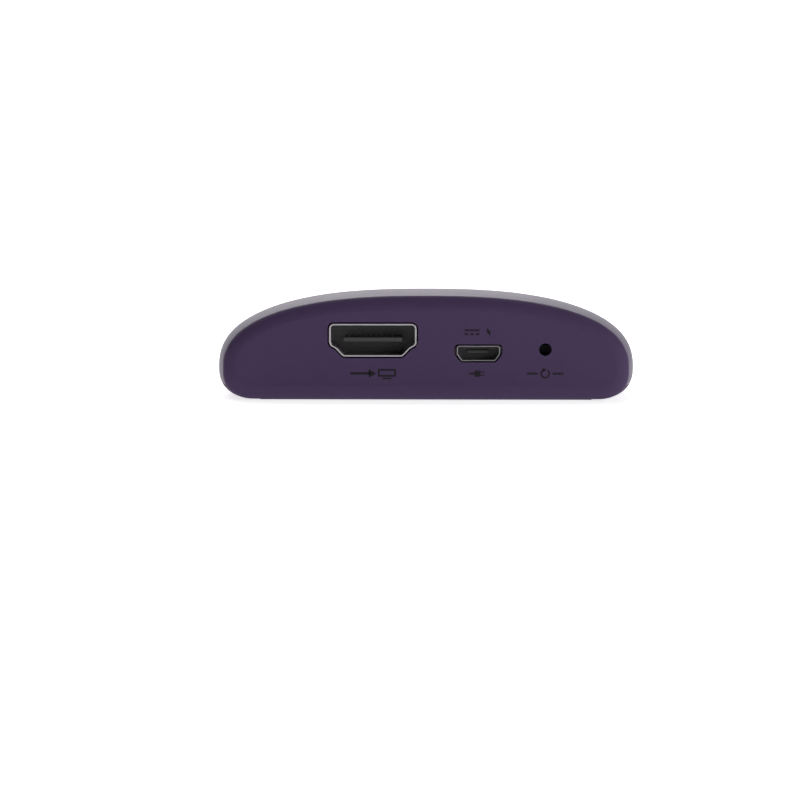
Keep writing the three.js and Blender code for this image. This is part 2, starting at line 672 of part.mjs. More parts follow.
addPart('hdmi_shell', makeVideoShell(), nickelSteel);
addPart('hdmi_insulator', makeInsulator(
  videoOutline, VIDEO_SHEET, VIDEO_LENGTH, VIDEO_X, VIDEO_Z, VIDEO_TONGUE_WIDTH, VIDEO_TONGUE_THICKNESS,
), socketResin);
addPart('usb_shell', socketShell(powerOutline, POWER_SHEET, POWER_LENGTH, POWER_X, POWER_Z), nickelSteel);
addPart('usb_insulator', makeInsulator(
  powerOutline, POWER_SHEET, POWER_LENGTH, POWER_X, POWER_Z, POWER_TONGUE_WIDTH, POWER_TONGUE_THICKNESS,
), socketResin);

// ---------------------------------------------------------------- reset switch

const switchFront = REAR_WALL_INSIDE - SWITCH_FROM_WALL;
const housingFront = switchFront - SWITCH_COVER;
const housingBack = housingFront - SWITCH_DEPTH;
const switchTop = RESET_Z + RESET_LIFT;
const switchHalf = SWITCH_WIDTH / 2;
const [switchRight, switchLeft] = [RESET_X - switchHalf, RESET_X + switchHalf];
const flangeFront = housingFront - PLUNGER_SLACK;
const flangeBack = flangeFront - PLUNGER_FLANGE;

/** The switch's housing: a box open towards the rear wall. */
function makeSwitchHousing() {
  const shell = span(switchRight, switchLeft, housingBack, housingFront, BOARD_TOP, switchTop);
  const room = span(
    switchRight + SWITCH_WALL,
    switchLeft - SWITCH_WALL,
    housingBack + SWITCH_WALL,
    housingFront + OVERCUT,
    BOARD_TOP + SWITCH_WALL,
    switchTop - SWITCH_WALL,
  );
  return shell.subtract(room);
}

/** The folded sheet that closes the housing, with a hole for the plunger's stem. */
function makeSwitchCover() {
  const top = switchTop + SWITCH_COVER;
  const front = span(switchRight, switchLeft, housingFront, switchFront, BOARD_TOP, top);
  const roof = span(switchRight, switchLeft, housingBack, switchFront, switchTop, top);
  const holeHalfWidth = STEM_WIDTH / 2 + STEM_CLEARANCE;
  const holeHalfHeight = STEM_HEIGHT / 2 + STEM_CLEARANCE;
  const stemHole = span(
    RESET_X - holeHalfWidth,
    RESET_X + holeHalfWidth,
    housingFront - OVERCUT,
    switchFront + OVERCUT,
    RESET_Z - holeHalfHeight,
    RESET_Z + holeHalfHeight,
  );
  return front.add(roof).subtract(stemHole);
}

/** The plunger: a stem through the cover and the collar that keeps it in. */
function makePlunger() {
  const stemTip = REAR_WALL_INSIDE - FIT_GAP;
  const stemShape = roundedRectangle(STEM_WIDTH, STEM_HEIGHT, CHIP_CORNER);
  const stem = alongDepth(stemShape, stemTip - flangeBack, stemTip, RESET_X, RESET_Z);
  const [width, height] = [STEM_WIDTH + FLANGE_EXTRA_WIDTH, STEM_HEIGHT + FLANGE_EXTRA_HEIGHT];
  const flangeShape = roundedRectangle(width, height, CHIP_CORNER);
  const flange = alongDepth(flangeShape, PLUNGER_FLANGE, flangeFront, RESET_X, RESET_Z);
  return stem.add(flange);
}

/** The snap dome that the plunger presses: a thin spherical cap, hollow side away from it. */
function makeDome() {
  const profile = [[0, DOME_RISE]];
  const arcSteps = 3;
  for (let i = 1; i <= arcSteps; i++) {
    const share = i / arcSteps;
    profile.push([DOME_RADIUS * share, DOME_RISE * (1 - share ** 2)]);
  }
  const underside = profile.map(([radius, level]) => [radius, level - DOME_SHEET]);
  const outline = [...underside, ...profile.toReversed()];
  const points = outline.map(([radius, level]) => new THREE.Vector2(radius, level));
  const geometry = new THREE.LatheGeometry(points, SCREW_STEPS);
  const crown = flangeBack - PLUNGER_TRAVEL - PLUNGER_SLACK;
  geometry.translate(RESET_X, crown - DOME_RISE, RESET_Z);
  return solid(geometry);
}

addPart('reset_switch_housing', makeSwitchHousing(), socketResin);
addPart('reset_switch_cover', makeSwitchCover(), shieldSteel);
addPart('reset_dome', makeDome(), springBronze);
addPart('reset_plunger', makePlunger(), plungerResin);

// ---------------------------------------------------------------- processor, memory, cooling

const shieldLeft = SHIELD_FROM_BOSSES - bossX;
const shieldRight = shieldLeft + SHIELD_WIDTH;
const shieldX = shieldLeft + SHIELD_WIDTH / 2;
const socX = shieldLeft + SOC_FROM_SHIELD + SOC_SIZE / 2;
const memoryX = shieldRight - MEMORY_FROM_SHIELD;

function makeShieldFrame() {
  const top = LID_TOP - SHIELD_SHEET - LID_CLEARANCE;
  const outer = block(SHIELD_WIDTH, SHIELD_DEPTH, BOARD_TOP, top, shieldX, SHIELD_Y);
  const inside = block(
    SHIELD_WIDTH - 2 * SHIELD_SHEET,
    SHIELD_DEPTH - 2 * SHIELD_SHEET,
    BOARD_TOP - OVERCUT,
    top - SHIELD_SHEET,
    shieldX,
    SHIELD_Y,
  );
  const mouth = block(
    SHIELD_WIDTH - 2 * SHIELD_RIM,
    SHIELD_DEPTH - 2 * SHIELD_RIM,
    BOARD_TOP,
    top + OVERCUT,
    shieldX,
    SHIELD_Y,
  );
  return outer.subtract(inside).subtract(mouth);
}

/** A pressed lid or one-piece can: five walls, open below. */
function makeCan(width, depth, low, high, x, y) {
  const outer = chipBody(width, depth, high - low, x, y, low, CAN_CORNER);
  const inside = block(
    width - 2 * SHIELD_SHEET,
    depth - 2 * SHIELD_SHEET,
    low - OVERCUT,
    high - SHIELD_SHEET,
    x,
    y,
  );
  return outer.subtract(inside);
}

function makeShieldLid() {
  const grow = 2 * (LID_CLEARANCE + SHIELD_SHEET);
  const can = makeCan(
    SHIELD_WIDTH + grow,
    SHIELD_DEPTH + grow,
    BOARD_TOP + LID_ABOVE_BOARD,
    LID_TOP,
    shieldX,
    SHIELD_Y,
  );
  const vents = [-1, 0, 1].map((place) => (
    rod(VENT_DIAMETER, LID_TOP - OVERCUT, LID_TOP + OVERCUT, memoryX, SHIELD_Y + VENT_SPACING * place, 8)
  ));
  return can.subtract(joined(vents));
}

const spreaderTop = SPREADER_BOTTOM + SPREADER_SHEET;

/** Where the inside of the cover's front wall is, at a place across and a level in the dome. */
function innerFrontAt(x, level) {
  const risen = ((level - WIDEST_LEVEL) / (CASE_HEIGHT - WIDEST_LEVEL - WALL)) ** CURVE_POWER;
  const across = (x / (CASE_WIDTH / 2 - WALL)) ** CURVE_POWER;
  return WIDEST_Y - (WIDEST_FROM_FRONT - WALL) * (1 - risen - across) ** (1 / CURVE_POWER);
}

const antennaFront = innerFrontAt(ANTENNA_X + ANTENNA_LENGTH / 2, BOARD_TOP + ANTENNA_HEIGHT);
const antennaY = antennaFront + ANTENNA_CLEARANCE + ANTENNA_WIDTH / 2;
const receiverShieldRear = RECEIVER_FRONT + RECEIVER_DEPTH + RECEIVER_GAP + RECEIVER_SHEET;
const plateFront = Math.max(receiverShieldRear, antennaY + ANTENNA_WIDTH / 2) + SPREADER_GAP;

/** The heat spreader: a plate with two folded feet held down by the board's left screws. */
function makeSpreader() {
  const plateRear = SHIELD_Y + SHIELD_DEPTH / 2;
  const plateLeft = shieldLeft - SPREADER_OVERHANG;
  const foldLeft = plateLeft - SPREADER_SHEET;
  const plate = span(plateLeft, shieldRight, plateFront, plateRear, SPREADER_BOTTOM, spreaderTop);
  const feet = [BOSS_REAR_Y, BOSS_FRONT_Y].map((y) => {
    const [front, rear] = [y - FOOT_WIDTH / 2, y + FOOT_WIDTH / 2];
    const footTop = BOARD_TOP + SPREADER_SHEET;
    const foot = span(-bossX - FOOT_REACH, plateLeft, front, rear, BOARD_TOP, footTop);
    const riser = span(foldLeft, plateLeft, front, rear, BOARD_TOP, spreaderTop);
    const bridge = span(foldLeft, plateLeft + SPREADER_SHEET, front, rear, SPREADER_BOTTOM, spreaderTop);
    const hole = rod(
      SCREW_DIAMETER + FOOT_HOLE_EXTRA, BOARD_TOP - OVERCUT, footTop + OVERCUT, -bossX, y,
    );
    return joined([foot, riser, bridge]).subtract(hole);
  });
  return joined([plate, ...feet]);
}

const chipTop = BOARD_TOP + SOLDER + CHIP_HEIGHT;
const lowerPadSize = SOC_SIZE - PAD_MARGIN;
addPart('soc_chip', chipBody(SOC_SIZE, SOC_SIZE, CHIP_HEIGHT, socX, SHIELD_Y), chipResin);
addPart('memory_chip', chipBody(MEMORY_WIDTH, MEMORY_DEPTH, MEMORY_HEIGHT, memoryX, SHIELD_Y), chipResin);
addPart('soc_shield_frame', makeShieldFrame(), shieldSteel);
addPart('soc_shield_lid', makeShieldLid(), shieldSteel);
addPart('soc_thermal_pad', chipBody(
  lowerPadSize, lowerPadSize, LOWER_PAD, socX, SHIELD_Y, chipTop,
), padRubber);
addPart('spreader_thermal_pad', chipBody(
  SOC_SIZE, SOC_SIZE, UPPER_PAD, socX, SHIELD_Y, LID_TOP,
), padRubber);
addPart('heat_spreader', makeSpreader(), spreaderAluminium);

// ---------------------------------------------------------------- wireless

const wifiX = VIDEO_X + WIFI_FROM_VIDEO;
const wifiY = VIDEO_BACK - WIFI_BEHIND_VIDEO - WIFI_SHIELD_DEPTH / 2;

/** A stamped antenna: a raised bar on a feed leg and a grounding leg. */
function makeAntenna(side) {
  const x = side * ANTENNA_X;
  const top = BOARD_TOP + ANTENNA_HEIGHT;
  const half = ANTENNA_LENGTH / 2;
  const [front, rear] = [antennaY - ANTENNA_WIDTH / 2, antennaY + ANTENNA_WIDTH / 2];
  const bar = span(x - half, x + half, front, rear, top - ANTENNA_SHEET, top);
  const legs = [half, half - ANTENNA_LEG_SPACING].map((offset) => {
    const outer = x + side * offset;
    const inner = outer - side * ANTENNA_SHEET;
    const [low, high] = [Math.min(outer, inner), Math.max(outer, inner)];
    return span(low, high, front, rear, BOARD_TOP, top);
  });
  return joined([bar, ...legs]);
}

addPart('wifi_shield', makeCan(
  WIFI_SHIELD_WIDTH, WIFI_SHIELD_DEPTH, BOARD_TOP, BOARD_TOP + WIFI_SHIELD_HEIGHT, wifiX, wifiY,
), shieldSteel);
addPart('wifi_chip', chipBody(...WIFI_CHIP, wifiX + WIFI_CHIP_X, wifiY), chipResin);
addPart('wifi_crystal', chipBody(...WIFI_CRYSTAL, wifiX + WIFI_CRYSTAL_X, wifiY), shieldSteel);
addPart('antenna_left', makeAntenna(-1), springBronze);
addPart('antenna_right', makeAntenna(1), springBronze);

// ---------------------------------------------------------------- power and small parts

/** A chip with gull-wing legs along its two long sides. */
function makeLeggedChip([width, depth, height], legCount, x, y) {
  const body = chipBody(width, depth, height, x, y);
  const pitch = depth / legCount;
  const [legWidth, legSheet, legReach] = [0.4, 0.2, 0.7];
  const shoulder = BOARD_TOP + 0.6;
  const legs = [];
  for (let i = 0; i < legCount; i++) {
    const legY = y + (i - (legCount - 1) / 2) * pitch;
    for (const side of [-1, 1]) {
      const arm = x + side * (width / 2 + legReach - 0.45);
      const toe = x + side * (width / 2 + legReach - legSheet / 2);
      legs.push(block(0.9, legWidth, shoulder - legSheet, shoulder, arm, legY));
      legs.push(block(legSheet, legWidth, BOARD_TOP, shoulder, toe, legY));
    }
  }
  return joined([body, ...legs]);
}

const powerRowY = BOARD_REAR - POWER_ROW_FROM_REAR;
const powerChipX = POWER_X + POWER_CHIP_X;
const powerChipY = BOARD_REAR - POWER_CHIP_FROM_REAR;
addPart('power_chip', chipBody(...POWER_CHIP, powerChipX, powerChipY), chipResin);
['core_inductor', 'memory_inductor'].forEach((name, i) => {
  const x = VIDEO_EDGE + INDUCTOR_FROM_VIDEO + INDUCTOR_SPACING * i;
  const body = chipBody(...INDUCTOR, x, powerRowY, BOARD_TOP + SOLDER, INDUCTOR_CORNER);
  addPart(name, body, ferrite);
});
const inputCapacitorX = POWER_X + INPUT_CAPACITOR_X;
addPart('input_capacitor', chipBody(...INPUT_CAPACITOR, inputCapacitorX, powerRowY), capacitorCeramic);
for (let i = 0; i < 3; i++) {
  const x = shieldRight + BULK_FROM_SHIELD;
  const y = VIDEO_BACK - BULK_FROM_VIDEO - BULK_SPACING * i;
  addPart(`bulk_capacitor_${i + 1}`, chipBody(...BULK_CAPACITOR, x, y), capacitorCeramic);
}
addPart('soc_crystal', chipBody(...SOC_CRYSTAL, shieldLeft - 3, SHIELD_Y), shieldSteel);
addPart('flash_chip', makeLeggedChip(FLASH_CHIP, FLASH_LEGS, bossX + 0.6, BOSS_REAR_Y - 6), chipResin);

// ---------------------------------------------------------------- infrared receiver, status lamp

/** The receiver: a block of dark resin with a round lens towards the window. */
function makeReceiver() {
  const half = RECEIVER_WIDTH / 2;
  const rear = RECEIVER_FRONT + RECEIVER_DEPTH;
  const top = BOARD_TOP + RECEIVER_HEIGHT;
  const body = span(RECEIVER_X - half, RECEIVER_X + half, RECEIVER_FRONT, rear, BOARD_TOP, top);
  const bulb = new THREE.SphereGeometry(RECEIVER_LENS, SCREW_STEPS, 8);
  bulb.translate(RECEIVER_X, RECEIVER_FRONT + RECEIVER_LENS / 5, BOARD_TOP + RECEIVER_HEIGHT / 2);
  return body.add(solid(bulb));
}

/** The folded shield over the receiver, open towards the window and the board. */
function makeReceiverShield() {
  const half = RECEIVER_WIDTH / 2 + RECEIVER_GAP;
  const outerHalf = half + RECEIVER_SHEET;
  const rear = receiverShieldRear - RECEIVER_SHEET;
  const top = BOARD_TOP + RECEIVER_HEIGHT + RECEIVER_GAP;
  const outer = span(
    RECEIVER_X - outerHalf,
    RECEIVER_X + outerHalf,
    RECEIVER_FRONT,
    receiverShieldRear,
    BOARD_TOP,
    top + RECEIVER_SHEET,
  );
  const room = span(
    RECEIVER_X - half,
    RECEIVER_X + half,
    RECEIVER_FRONT - OVERCUT,
    rear,
    BOARD_TOP - OVERCUT,
    top,
  );
  return outer.subtract(room);
}

/** A side-looking lamp: a block with a half-round lens towards the window. */
function makeStatusLamp() {
  const front = BOARD_FRONT + LAMP_FROM_EDGE;
  const top = BOARD_TOP + LAMP_HEIGHT;
  const [right, left] = [LAMP_X - LAMP_WIDTH / 2, LAMP_X + LAMP_WIDTH / 2];
  const body = span(right, left, front, front + LAMP_DEPTH, BOARD_TOP, top);
  const [lensLow, lensHigh] = [BOARD_TOP + LAMP_LENS_MARGIN, top - LAMP_LENS_MARGIN];
  return body.add(rod(LAMP_LENS, lensLow, lensHigh, LAMP_X, front, SCREW_STEPS));
}

addPart('ir_receiver', makeReceiver(), receiverResin);
addPart('ir_receiver_shield', makeReceiverShield(), shieldSteel);
addPart('status_led', makeStatusLamp(), ledBody);

export default player;
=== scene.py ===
# %% [markdown]
# # A small media player, dressed round its CAD frame
# The CAD model fixes every size and place. This lesson loads it, keeps the parts whose shape is
# already right, and models smooth, finely finished pieces for everything the eye can reach: the
# arched cover, the base with its rolled rear face, the sockets, the window and the printed marks.

import json
import math

import bmesh
import bpy
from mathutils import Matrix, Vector


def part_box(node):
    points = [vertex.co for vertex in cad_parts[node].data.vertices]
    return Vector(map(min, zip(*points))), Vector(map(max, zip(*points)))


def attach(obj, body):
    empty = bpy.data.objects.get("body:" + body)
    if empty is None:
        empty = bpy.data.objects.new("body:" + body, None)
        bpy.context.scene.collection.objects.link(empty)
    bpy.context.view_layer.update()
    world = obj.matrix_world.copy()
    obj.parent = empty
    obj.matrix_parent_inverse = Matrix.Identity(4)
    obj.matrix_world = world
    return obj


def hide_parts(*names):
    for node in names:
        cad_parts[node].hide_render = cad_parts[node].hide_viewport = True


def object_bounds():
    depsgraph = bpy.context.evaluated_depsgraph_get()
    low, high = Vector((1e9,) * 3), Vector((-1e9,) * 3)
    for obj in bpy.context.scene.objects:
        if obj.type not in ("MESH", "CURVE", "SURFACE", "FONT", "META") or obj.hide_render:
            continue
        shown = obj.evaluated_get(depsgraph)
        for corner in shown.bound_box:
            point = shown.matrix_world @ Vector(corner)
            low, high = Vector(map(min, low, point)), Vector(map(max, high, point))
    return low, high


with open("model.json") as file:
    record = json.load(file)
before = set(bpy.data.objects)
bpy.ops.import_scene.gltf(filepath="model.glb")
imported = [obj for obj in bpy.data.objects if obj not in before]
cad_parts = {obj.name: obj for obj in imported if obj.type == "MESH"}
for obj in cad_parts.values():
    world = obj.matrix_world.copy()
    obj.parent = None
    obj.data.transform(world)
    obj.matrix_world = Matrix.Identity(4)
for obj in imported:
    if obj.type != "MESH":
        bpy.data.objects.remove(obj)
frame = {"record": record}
cad_low, cad_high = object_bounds()
MM = 0.001
print("CAD box in mm:", [round(value / MM, 2) for value in (*cad_low, *cad_high)])

# %% [markdown]
# The camera looks at the rear face from just above the table, as a person does who is about to
# plug in a lead. A long lens a quarter of a metre away keeps the sides from flaring. It aims a
# little to one side of the player and below it, which sets the player up and to the right in the
# frame, so no lens shift is needed. The plain view transform keeps the paper white and the
# plastic the colour it was mixed.

# %% Camera
CAMERA_DISTANCE = 250 * MM
CAMERA_ELEVATION = math.radians(3.92)
SENSOR_WIDTH = 36.0
LENS = 66.8
CLIP_START = 1 * MM
MIDDLE_HEIGHT = 9 * MM
AIM_ASIDE = 4.3 * MM
AIM_HEIGHT = 0.2 * MM
REAR_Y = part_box("base_shell")[1].y
subject = Vector((0, REAR_Y, MIDDLE_HEIGHT))
aim = Vector((AIM_ASIDE, REAR_Y, AIM_HEIGHT))

camera_data = bpy.data.cameras.new("camera")
camera_data.sensor_width = SENSOR_WIDTH
camera_data.lens = LENS
camera_data.clip_start = CLIP_START
camera = bpy.data.objects.new("camera", camera_data)
bpy.context.scene.collection.objects.link(camera)
away = Vector((0, math.cos(CAMERA_ELEVATION), math.sin(CAMERA_ELEVATION)))
camera.location = subject + away * CAMERA_DISTANCE
camera.rotation_mode = "QUATERNION"
camera.rotation_quaternion = (aim - camera.location).to_track_quat("-Z", "Y")
bpy.context.scene.camera = camera
bpy.context.scene.view_settings.view_transform = "Standard"
print("camera at", [round(value / MM, 1) for value in camera.location], "mm")

# %% [markdown]
# Edit mode works on whatever is selected, so each step first says what it works on. These small
# helpers make one piece active, choose its faces, edges or points by place or direction, and
# apply a modifier once it is set. They stand in for the clicks that a person makes.


# %% Helpers: choosing what to work on
def only(piece):
    """Selects this piece alone and makes it active."""
    bpy.ops.object.select_all(action="DESELECT")
    piece.select_set(True)
    bpy.context.view_layer.objects.active = piece


def edit(piece):
    """Opens the piece in edit mode."""
    only(piece)
    bpy.ops.object.mode_set(mode="EDIT")


def edit_all(piece):
    """Opens the piece in edit mode with all of it selected."""
    edit(piece)
    bpy.ops.mesh.select_all(action="SELECT")


def leave():
    bpy.ops.object.mode_set(mode="OBJECT")


def pick(piece, test, kind="FACE"):
    """Selects the faces, edges or points that pass a test; needs edit mode."""
    bpy.ops.mesh.select_mode(type=kind)
    bpy.ops.mesh.select_all(action="DESELECT")
    mesh = bmesh.from_edit_mesh(piece.data)
    parts = {"FACE": mesh.faces, "EDGE": mesh.edges, "VERT": mesh.verts}[kind]
    for part in parts:
        if test(part):
            part.select_set(True)
    mesh.select_flush_mode()
    bmesh.update_edit_mesh(piece.data)


def middle(part):
    """The middle of a face or an edge."""
    return sum((point.co for point in part.verts), Vector()) / len(part.verts)


# %% Helpers: shaping
NEAR = 0.001 * MM
FACING = 0.99


def pushed(x=0.0, y=0.0, z=0.0):
    """Extrudes the selected faces and moves the new ones."""
    bpy.ops.mesh.extrude_region_move(TRANSFORM_OT_translate={"value": (x, y, z)})


def sliced(at, toward, drop=False, fill=False):
    """Bisects everything at a plane; drop takes away what lies on the toward side."""
    bpy.ops.mesh.select_all(action="SELECT")
    bpy.ops.mesh.bisect(plane_co=at, plane_no=toward, use_fill=fill, clear_outer=drop)


def finish_with(piece, kind, **settings):
    """Adds one modifier, sets it and applies it."""
    only(piece)
    modifier = piece.modifiers.new(kind.lower(), kind)
    for name, value in settings.items():
        setattr(modifier, name, value)
    bpy.ops.object.modifier_apply(modifier=modifier.name)


def boolean(piece, tool, operation, keep_tool=False):
    """Cuts, joins or intersects the piece with a tool, which then goes away."""
    finish_with(piece, "BOOLEAN", object=tool, operation=operation, solver="EXACT")
    if not keep_tool:
        bpy.data.objects.remove(tool, do_unlink=True)


def edge_broken(piece, width, segments=2, angle=55):
    """Rounds the sharp edges of a piece by a hair."""
    limits = {"limit_method": "ANGLE", "angle_limit": math.radians(angle)}
    finish_with(piece, "BEVEL", width=width, segments=segments, **limits)


def started(name):
    """Names the primitive that was just added and puts its place into its mesh."""
    piece = bpy.context.active_object
    piece.name = piece.data.name = name
    bpy.ops.object.transform_apply(location=True, rotation=True, scale=True)
    return piece


def copied(piece, name):
    twin = piece.copy()
    twin.data = piece.data.copy()
    twin.name = twin.data.name = name
    bpy.context.scene.collection.objects.link(twin)
    return twin


def joined(name, pieces):
    """Makes one piece of several."""
    only(pieces[0])
    for piece in pieces[1:]:
        piece.select_set(True)
    bpy.ops.object.join()
    pieces[0].name = pieces[0].data.name = name
    return pieces[0]


def face_out(piece):
    """Points every face of a closed piece outwards."""
    edit_all(piece)
    bpy.ops.mesh.normals_make_consistent(inside=False)
    leave()


def smooth(piece, angle=32):
    """Smooths the shading over soft edges, led by the larger faces so that flats stay flat."""
    only(piece)
    bpy.ops.object.shade_smooth_by_angle(angle=math.radians(angle))
    finish_with(piece, "WEIGHTED_NORMAL", keep_sharp=True)


def tally(piece):
    """Says how many faces a piece has and how large it is."""
    size = [round(value / MM, 2) for value in piece.dimensions]
    print(f"{piece.name}: {len(piece.data.polygons)} faces, {size} mm")


# %% Helpers: flat outlines and prisms
BIG = 60 * MM
OVERRUN = 1 * MM


def plate(name, width, height, x, z, radius=0.0, segments=8):
    """A rectangle with rounded corners, standing flat in X and Z at y = 0."""
    bpy.ops.object.select_all(action="DESELECT")
    bpy.ops.mesh.primitive_plane_add(size=1, location=(x, 0, z), rotation=(math.pi / 2, 0, 0))
    bpy.context.active_object.scale = (width, height, 1)
    face = started(name)
    if radius:
        edit_all(face)
        bpy.ops.mesh.bevel(offset=radius, segments=segments, affect="VERTICES")
        leave()
    return face


def drawn(face, start_y, end_y):
    """Draws a flat outline out into a prism between two places along Y."""
    edit_all(face)
    bpy.ops.transform.translate(value=(0, start_y, 0))
    pushed(y=end_y - start_y)
    leave()
    face_out(face)
    return face


def box(name, low, high):
    """A plain box between two corners, to cut with or to shape further."""
    bpy.ops.object.select_all(action="DESELECT")
    centre = [(a + b) / 2 for a, b in zip(low, high)]
    bpy.ops.mesh.primitive_cube_add(size=1, location=centre)
    bpy.context.active_object.scale = [b - a for a, b in zip(low, high)]
    return started(name)


# %% [markdown]
# The case is one rounded plan outline, drawn larger or smaller from level to level. It starts as
# a filled circle at the bottom, eased into a squarer outline. The face is then extruded upwards
# and scaled about the widest section again and again: outwards over the tucked-in lower corner,
# then inwards over the arch. Extruding keeps clean rows of faces, so gloss runs over the arch
# without the ripples that a sculpted or remeshed skin would show.

# %% Sizes of the case
HALF_WIDTH = (cad_high.x - cad_low.x) / 2
CROWN = cad_high.z
FRONT_Y = cad_low.y
WIDEST_LEVEL = 4.9 * MM
WIDEST_FROM_FRONT = 20.5 * MM
WIDEST_Y = FRONT_Y + WIDEST_FROM_FRONT
REAR_REACH = 33 * MM
LOWER_CORNER = 4.8 * MM
CURVE_POWER = 2.5
CORNER_POWER = 2.3
TIGHTEST_CORNER = 0.5 * MM
PLAN_POINTS = 176
CORNER_LEVELS = 14
DOME_LEVELS = 44
print("widest section at y =", round(WIDEST_Y / MM, 2), "mm")


# %% The case skin
def eased(value, power=CURVE_POWER):
    """Turns a circle's sine or cosine into the squarer outline's."""
    return math.copysign(abs(value) ** (2 / power), value)


def levels(inset, floor):
    """How wide the case is at each level, as a share of its widest, from bottom to crown."""
    half_width = HALF_WIDTH - inset
    corner = max(LOWER_CORNER - inset, TIGHTEST_CORNER)
    dome = CROWN - WIDEST_LEVEL - inset
    rows = []
    for i in range(CORNER_LEVELS):
        turn = math.pi / 2 * i / CORNER_LEVELS
        share = 1 - corner / half_width * (1 - eased(math.sin(turn), CORNER_POWER))
        drop = (WIDEST_LEVEL - floor) * eased(math.cos(turn), CORNER_POWER)
        rows.append((share, WIDEST_LEVEL - drop))
    for i in range(DOME_LEVELS):
        turn = math.pi / 2 * i / DOME_LEVELS
        rows.append((eased(math.cos(turn)), WIDEST_LEVEL + dome * eased(math.sin(turn))))
    return rows


def case_skin(name, inset, floor):
    """A closed skin in the form of the case, drawn in by an inset and standing on a floor."""
    rows = levels(inset, floor)
    first_share, first_level = rows[0]
    bpy.ops.object.select_all(action="DESELECT")
    bpy.ops.mesh.primitive_circle_add(vertices=PLAN_POINTS, radius=1, fill_type="NGON")
    skin = started(name)
    for point in skin.data.vertices:
        across, along = eased(point.co.x), eased(point.co.y)
        reach = (REAR_REACH if along > 0 else WIDEST_FROM_FRONT) - inset
        x = (HALF_WIDTH - inset) * first_share * across
        point.co = (x, WIDEST_Y + reach * first_share * along, first_level)
    edit_all(skin)
    for (last_share, last_level), (share, level) in zip(rows, rows[1:]):
        pushed(z=level - last_level)
        size = share / last_share
        bpy.ops.transform.resize(value=(size, size, 1), center_override=(0, WIDEST_Y, level))
    pick(skin, lambda edge: edge.is_boundary, "EDGE")
    bpy.ops.mesh.edge_face_add()
    leave()
    face_out(skin)
    return skin


FOOT_LAND = 0.22 * MM
whole_form = case_skin("whole_form", 0, FOOT_LAND)
tally(whole_form)

# %% [markdown]
# The rear face is flat with a soft rolled edge. The skin is bisected where the roll begins and
# capped. Points on the cap's rim that lie too close together would cross each other when it is
# inset, so they are merged and the cap is made flat again. Then it is inset and pushed back in
# small steps that follow an ellipse. They stop short of a full quarter turn, so the roll meets
# the flat in a soft line, and a last narrow inset keeps the roll's shading off the flat.

# %% The rolled rear face
ROLL_DEPTH = 1.5 * MM
ROLL_WIDTH = 2.3 * MM
ROLL_STEPS = 12
ROLL_TURN = math.radians(74)
PARTING_Y = REAR_Y - ROLL_DEPTH
MERGED_WITHIN = 0.12 * MM
SHADING_BAND = 0.08 * MM

edit(whole_form)
sliced((0, PARTING_Y, 0), (0, 1, 0), drop=True, fill=True)
pick(whole_form, lambda point: abs(point.co.y - PARTING_Y) < NEAR, "VERT")
bpy.ops.mesh.remove_doubles(threshold=MERGED_WITHIN)
pick(whole_form, lambda face: face.normal.y > FACING and abs(middle(face).y - PARTING_Y) < NEAR)
bpy.ops.transform.resize(value=(1, 0, 1), center_override=(0, PARTING_Y, 0))
for step in range(ROLL_STEPS):
    here, there = (ROLL_TURN * i / ROLL_STEPS for i in (step, step + 1))
    inward = ROLL_WIDTH * (math.cos(here) - math.cos(there)) / (1 - math.cos(ROLL_TURN))
    back = ROLL_DEPTH * (math.sin(there) - math.sin(here)) / math.sin(ROLL_TURN)
    bpy.ops.mesh.inset(thickness=inward, depth=0, use_even_offset=True)
    bpy.ops.transform.translate(value=(0, back, 0))
bpy.ops.mesh.inset(thickness=SHADING_BAND, depth=0)
leave()
tally(whole_form)

# %% [markdown]
# The player stands on a low land set in from the edge of its underside, so the rolled edge clears
# the table and throws a thin line of shadow. It is one inset and one short extrusion.

# %% The foot land
LAND_FROM_EDGE = 1.3 * MM
edit(whole_form)
pick(whole_form, lambda face: face.normal.z < -FACING and abs(middle(face).z - FOOT_LAND) < NEAR)
bpy.ops.mesh.inset(thickness=LAND_FROM_EDGE, depth=0)
pushed(z=-FOOT_LAND)
leave()
tally(whole_form)

# %% [markdown]
# The cover is the arch, flanks and front as one moulding. It is the whole form with the lower
# edge and the rear taken off at the seams. What is left is a sheet, and Solidify gives it the
# real wall, inwards. A hair-thin bevel breaks its edges, as a mould does.

# %% The cover
WALL = 1.6 * MM
SEAM = 0.12 * MM
FIT_GAP = 0.3 * MM
PARTING_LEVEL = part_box("top_cover")[0].z - FIT_GAP
EDGE_BREAK = 0.1 * MM

cover = copied(whole_form, "cover_shell")
edit(cover)
sliced((0, 0, PARTING_LEVEL + SEAM), (0, 0, -1), drop=True)
sliced((0, PARTING_Y - SEAM, 0), (0, 1, 0), drop=True)
leave()
finish_with(cover, "SOLIDIFY", thickness=WALL, offset=-1, use_even_offset=True)
edge_broken(cover, EDGE_BREAK)
tally(cover)

# %% [markdown]
# At the front sits a smoked window, clear to infrared, that lets the remote's signal through. Its
# outer face follows the case, so both it and its opening are cut from the case's own form by the
# same prism with half-round ends, a little larger for the opening. A flange behind the wall is
# what would be glued.

# %% The window and its opening
window_low, window_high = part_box("ir_window")
WINDOW_FLANGE = 1.2 * MM
WINDOW_WIDTH = window_high.x - window_low.x - 2 * WINDOW_FLANGE
WINDOW_HEIGHT = 5 * MM
WINDOW_Z = 9.2 * MM
WINDOW_LINE = 0.12 * MM
WINDOW_RECESS = 0.06 * MM
WINDOW_THICKNESS = 1.1 * MM
HALF_ROUND = 0.499


def window_prism(name, grow):
    width, height = WINDOW_WIDTH + 2 * grow, WINDOW_HEIGHT + 2 * grow
    outline = plate(name, width, height, 0, WINDOW_Z, height * HALF_ROUND, segments=16)
    return drawn(outline, FRONT_Y - 2 * OVERRUN, window_high.y)


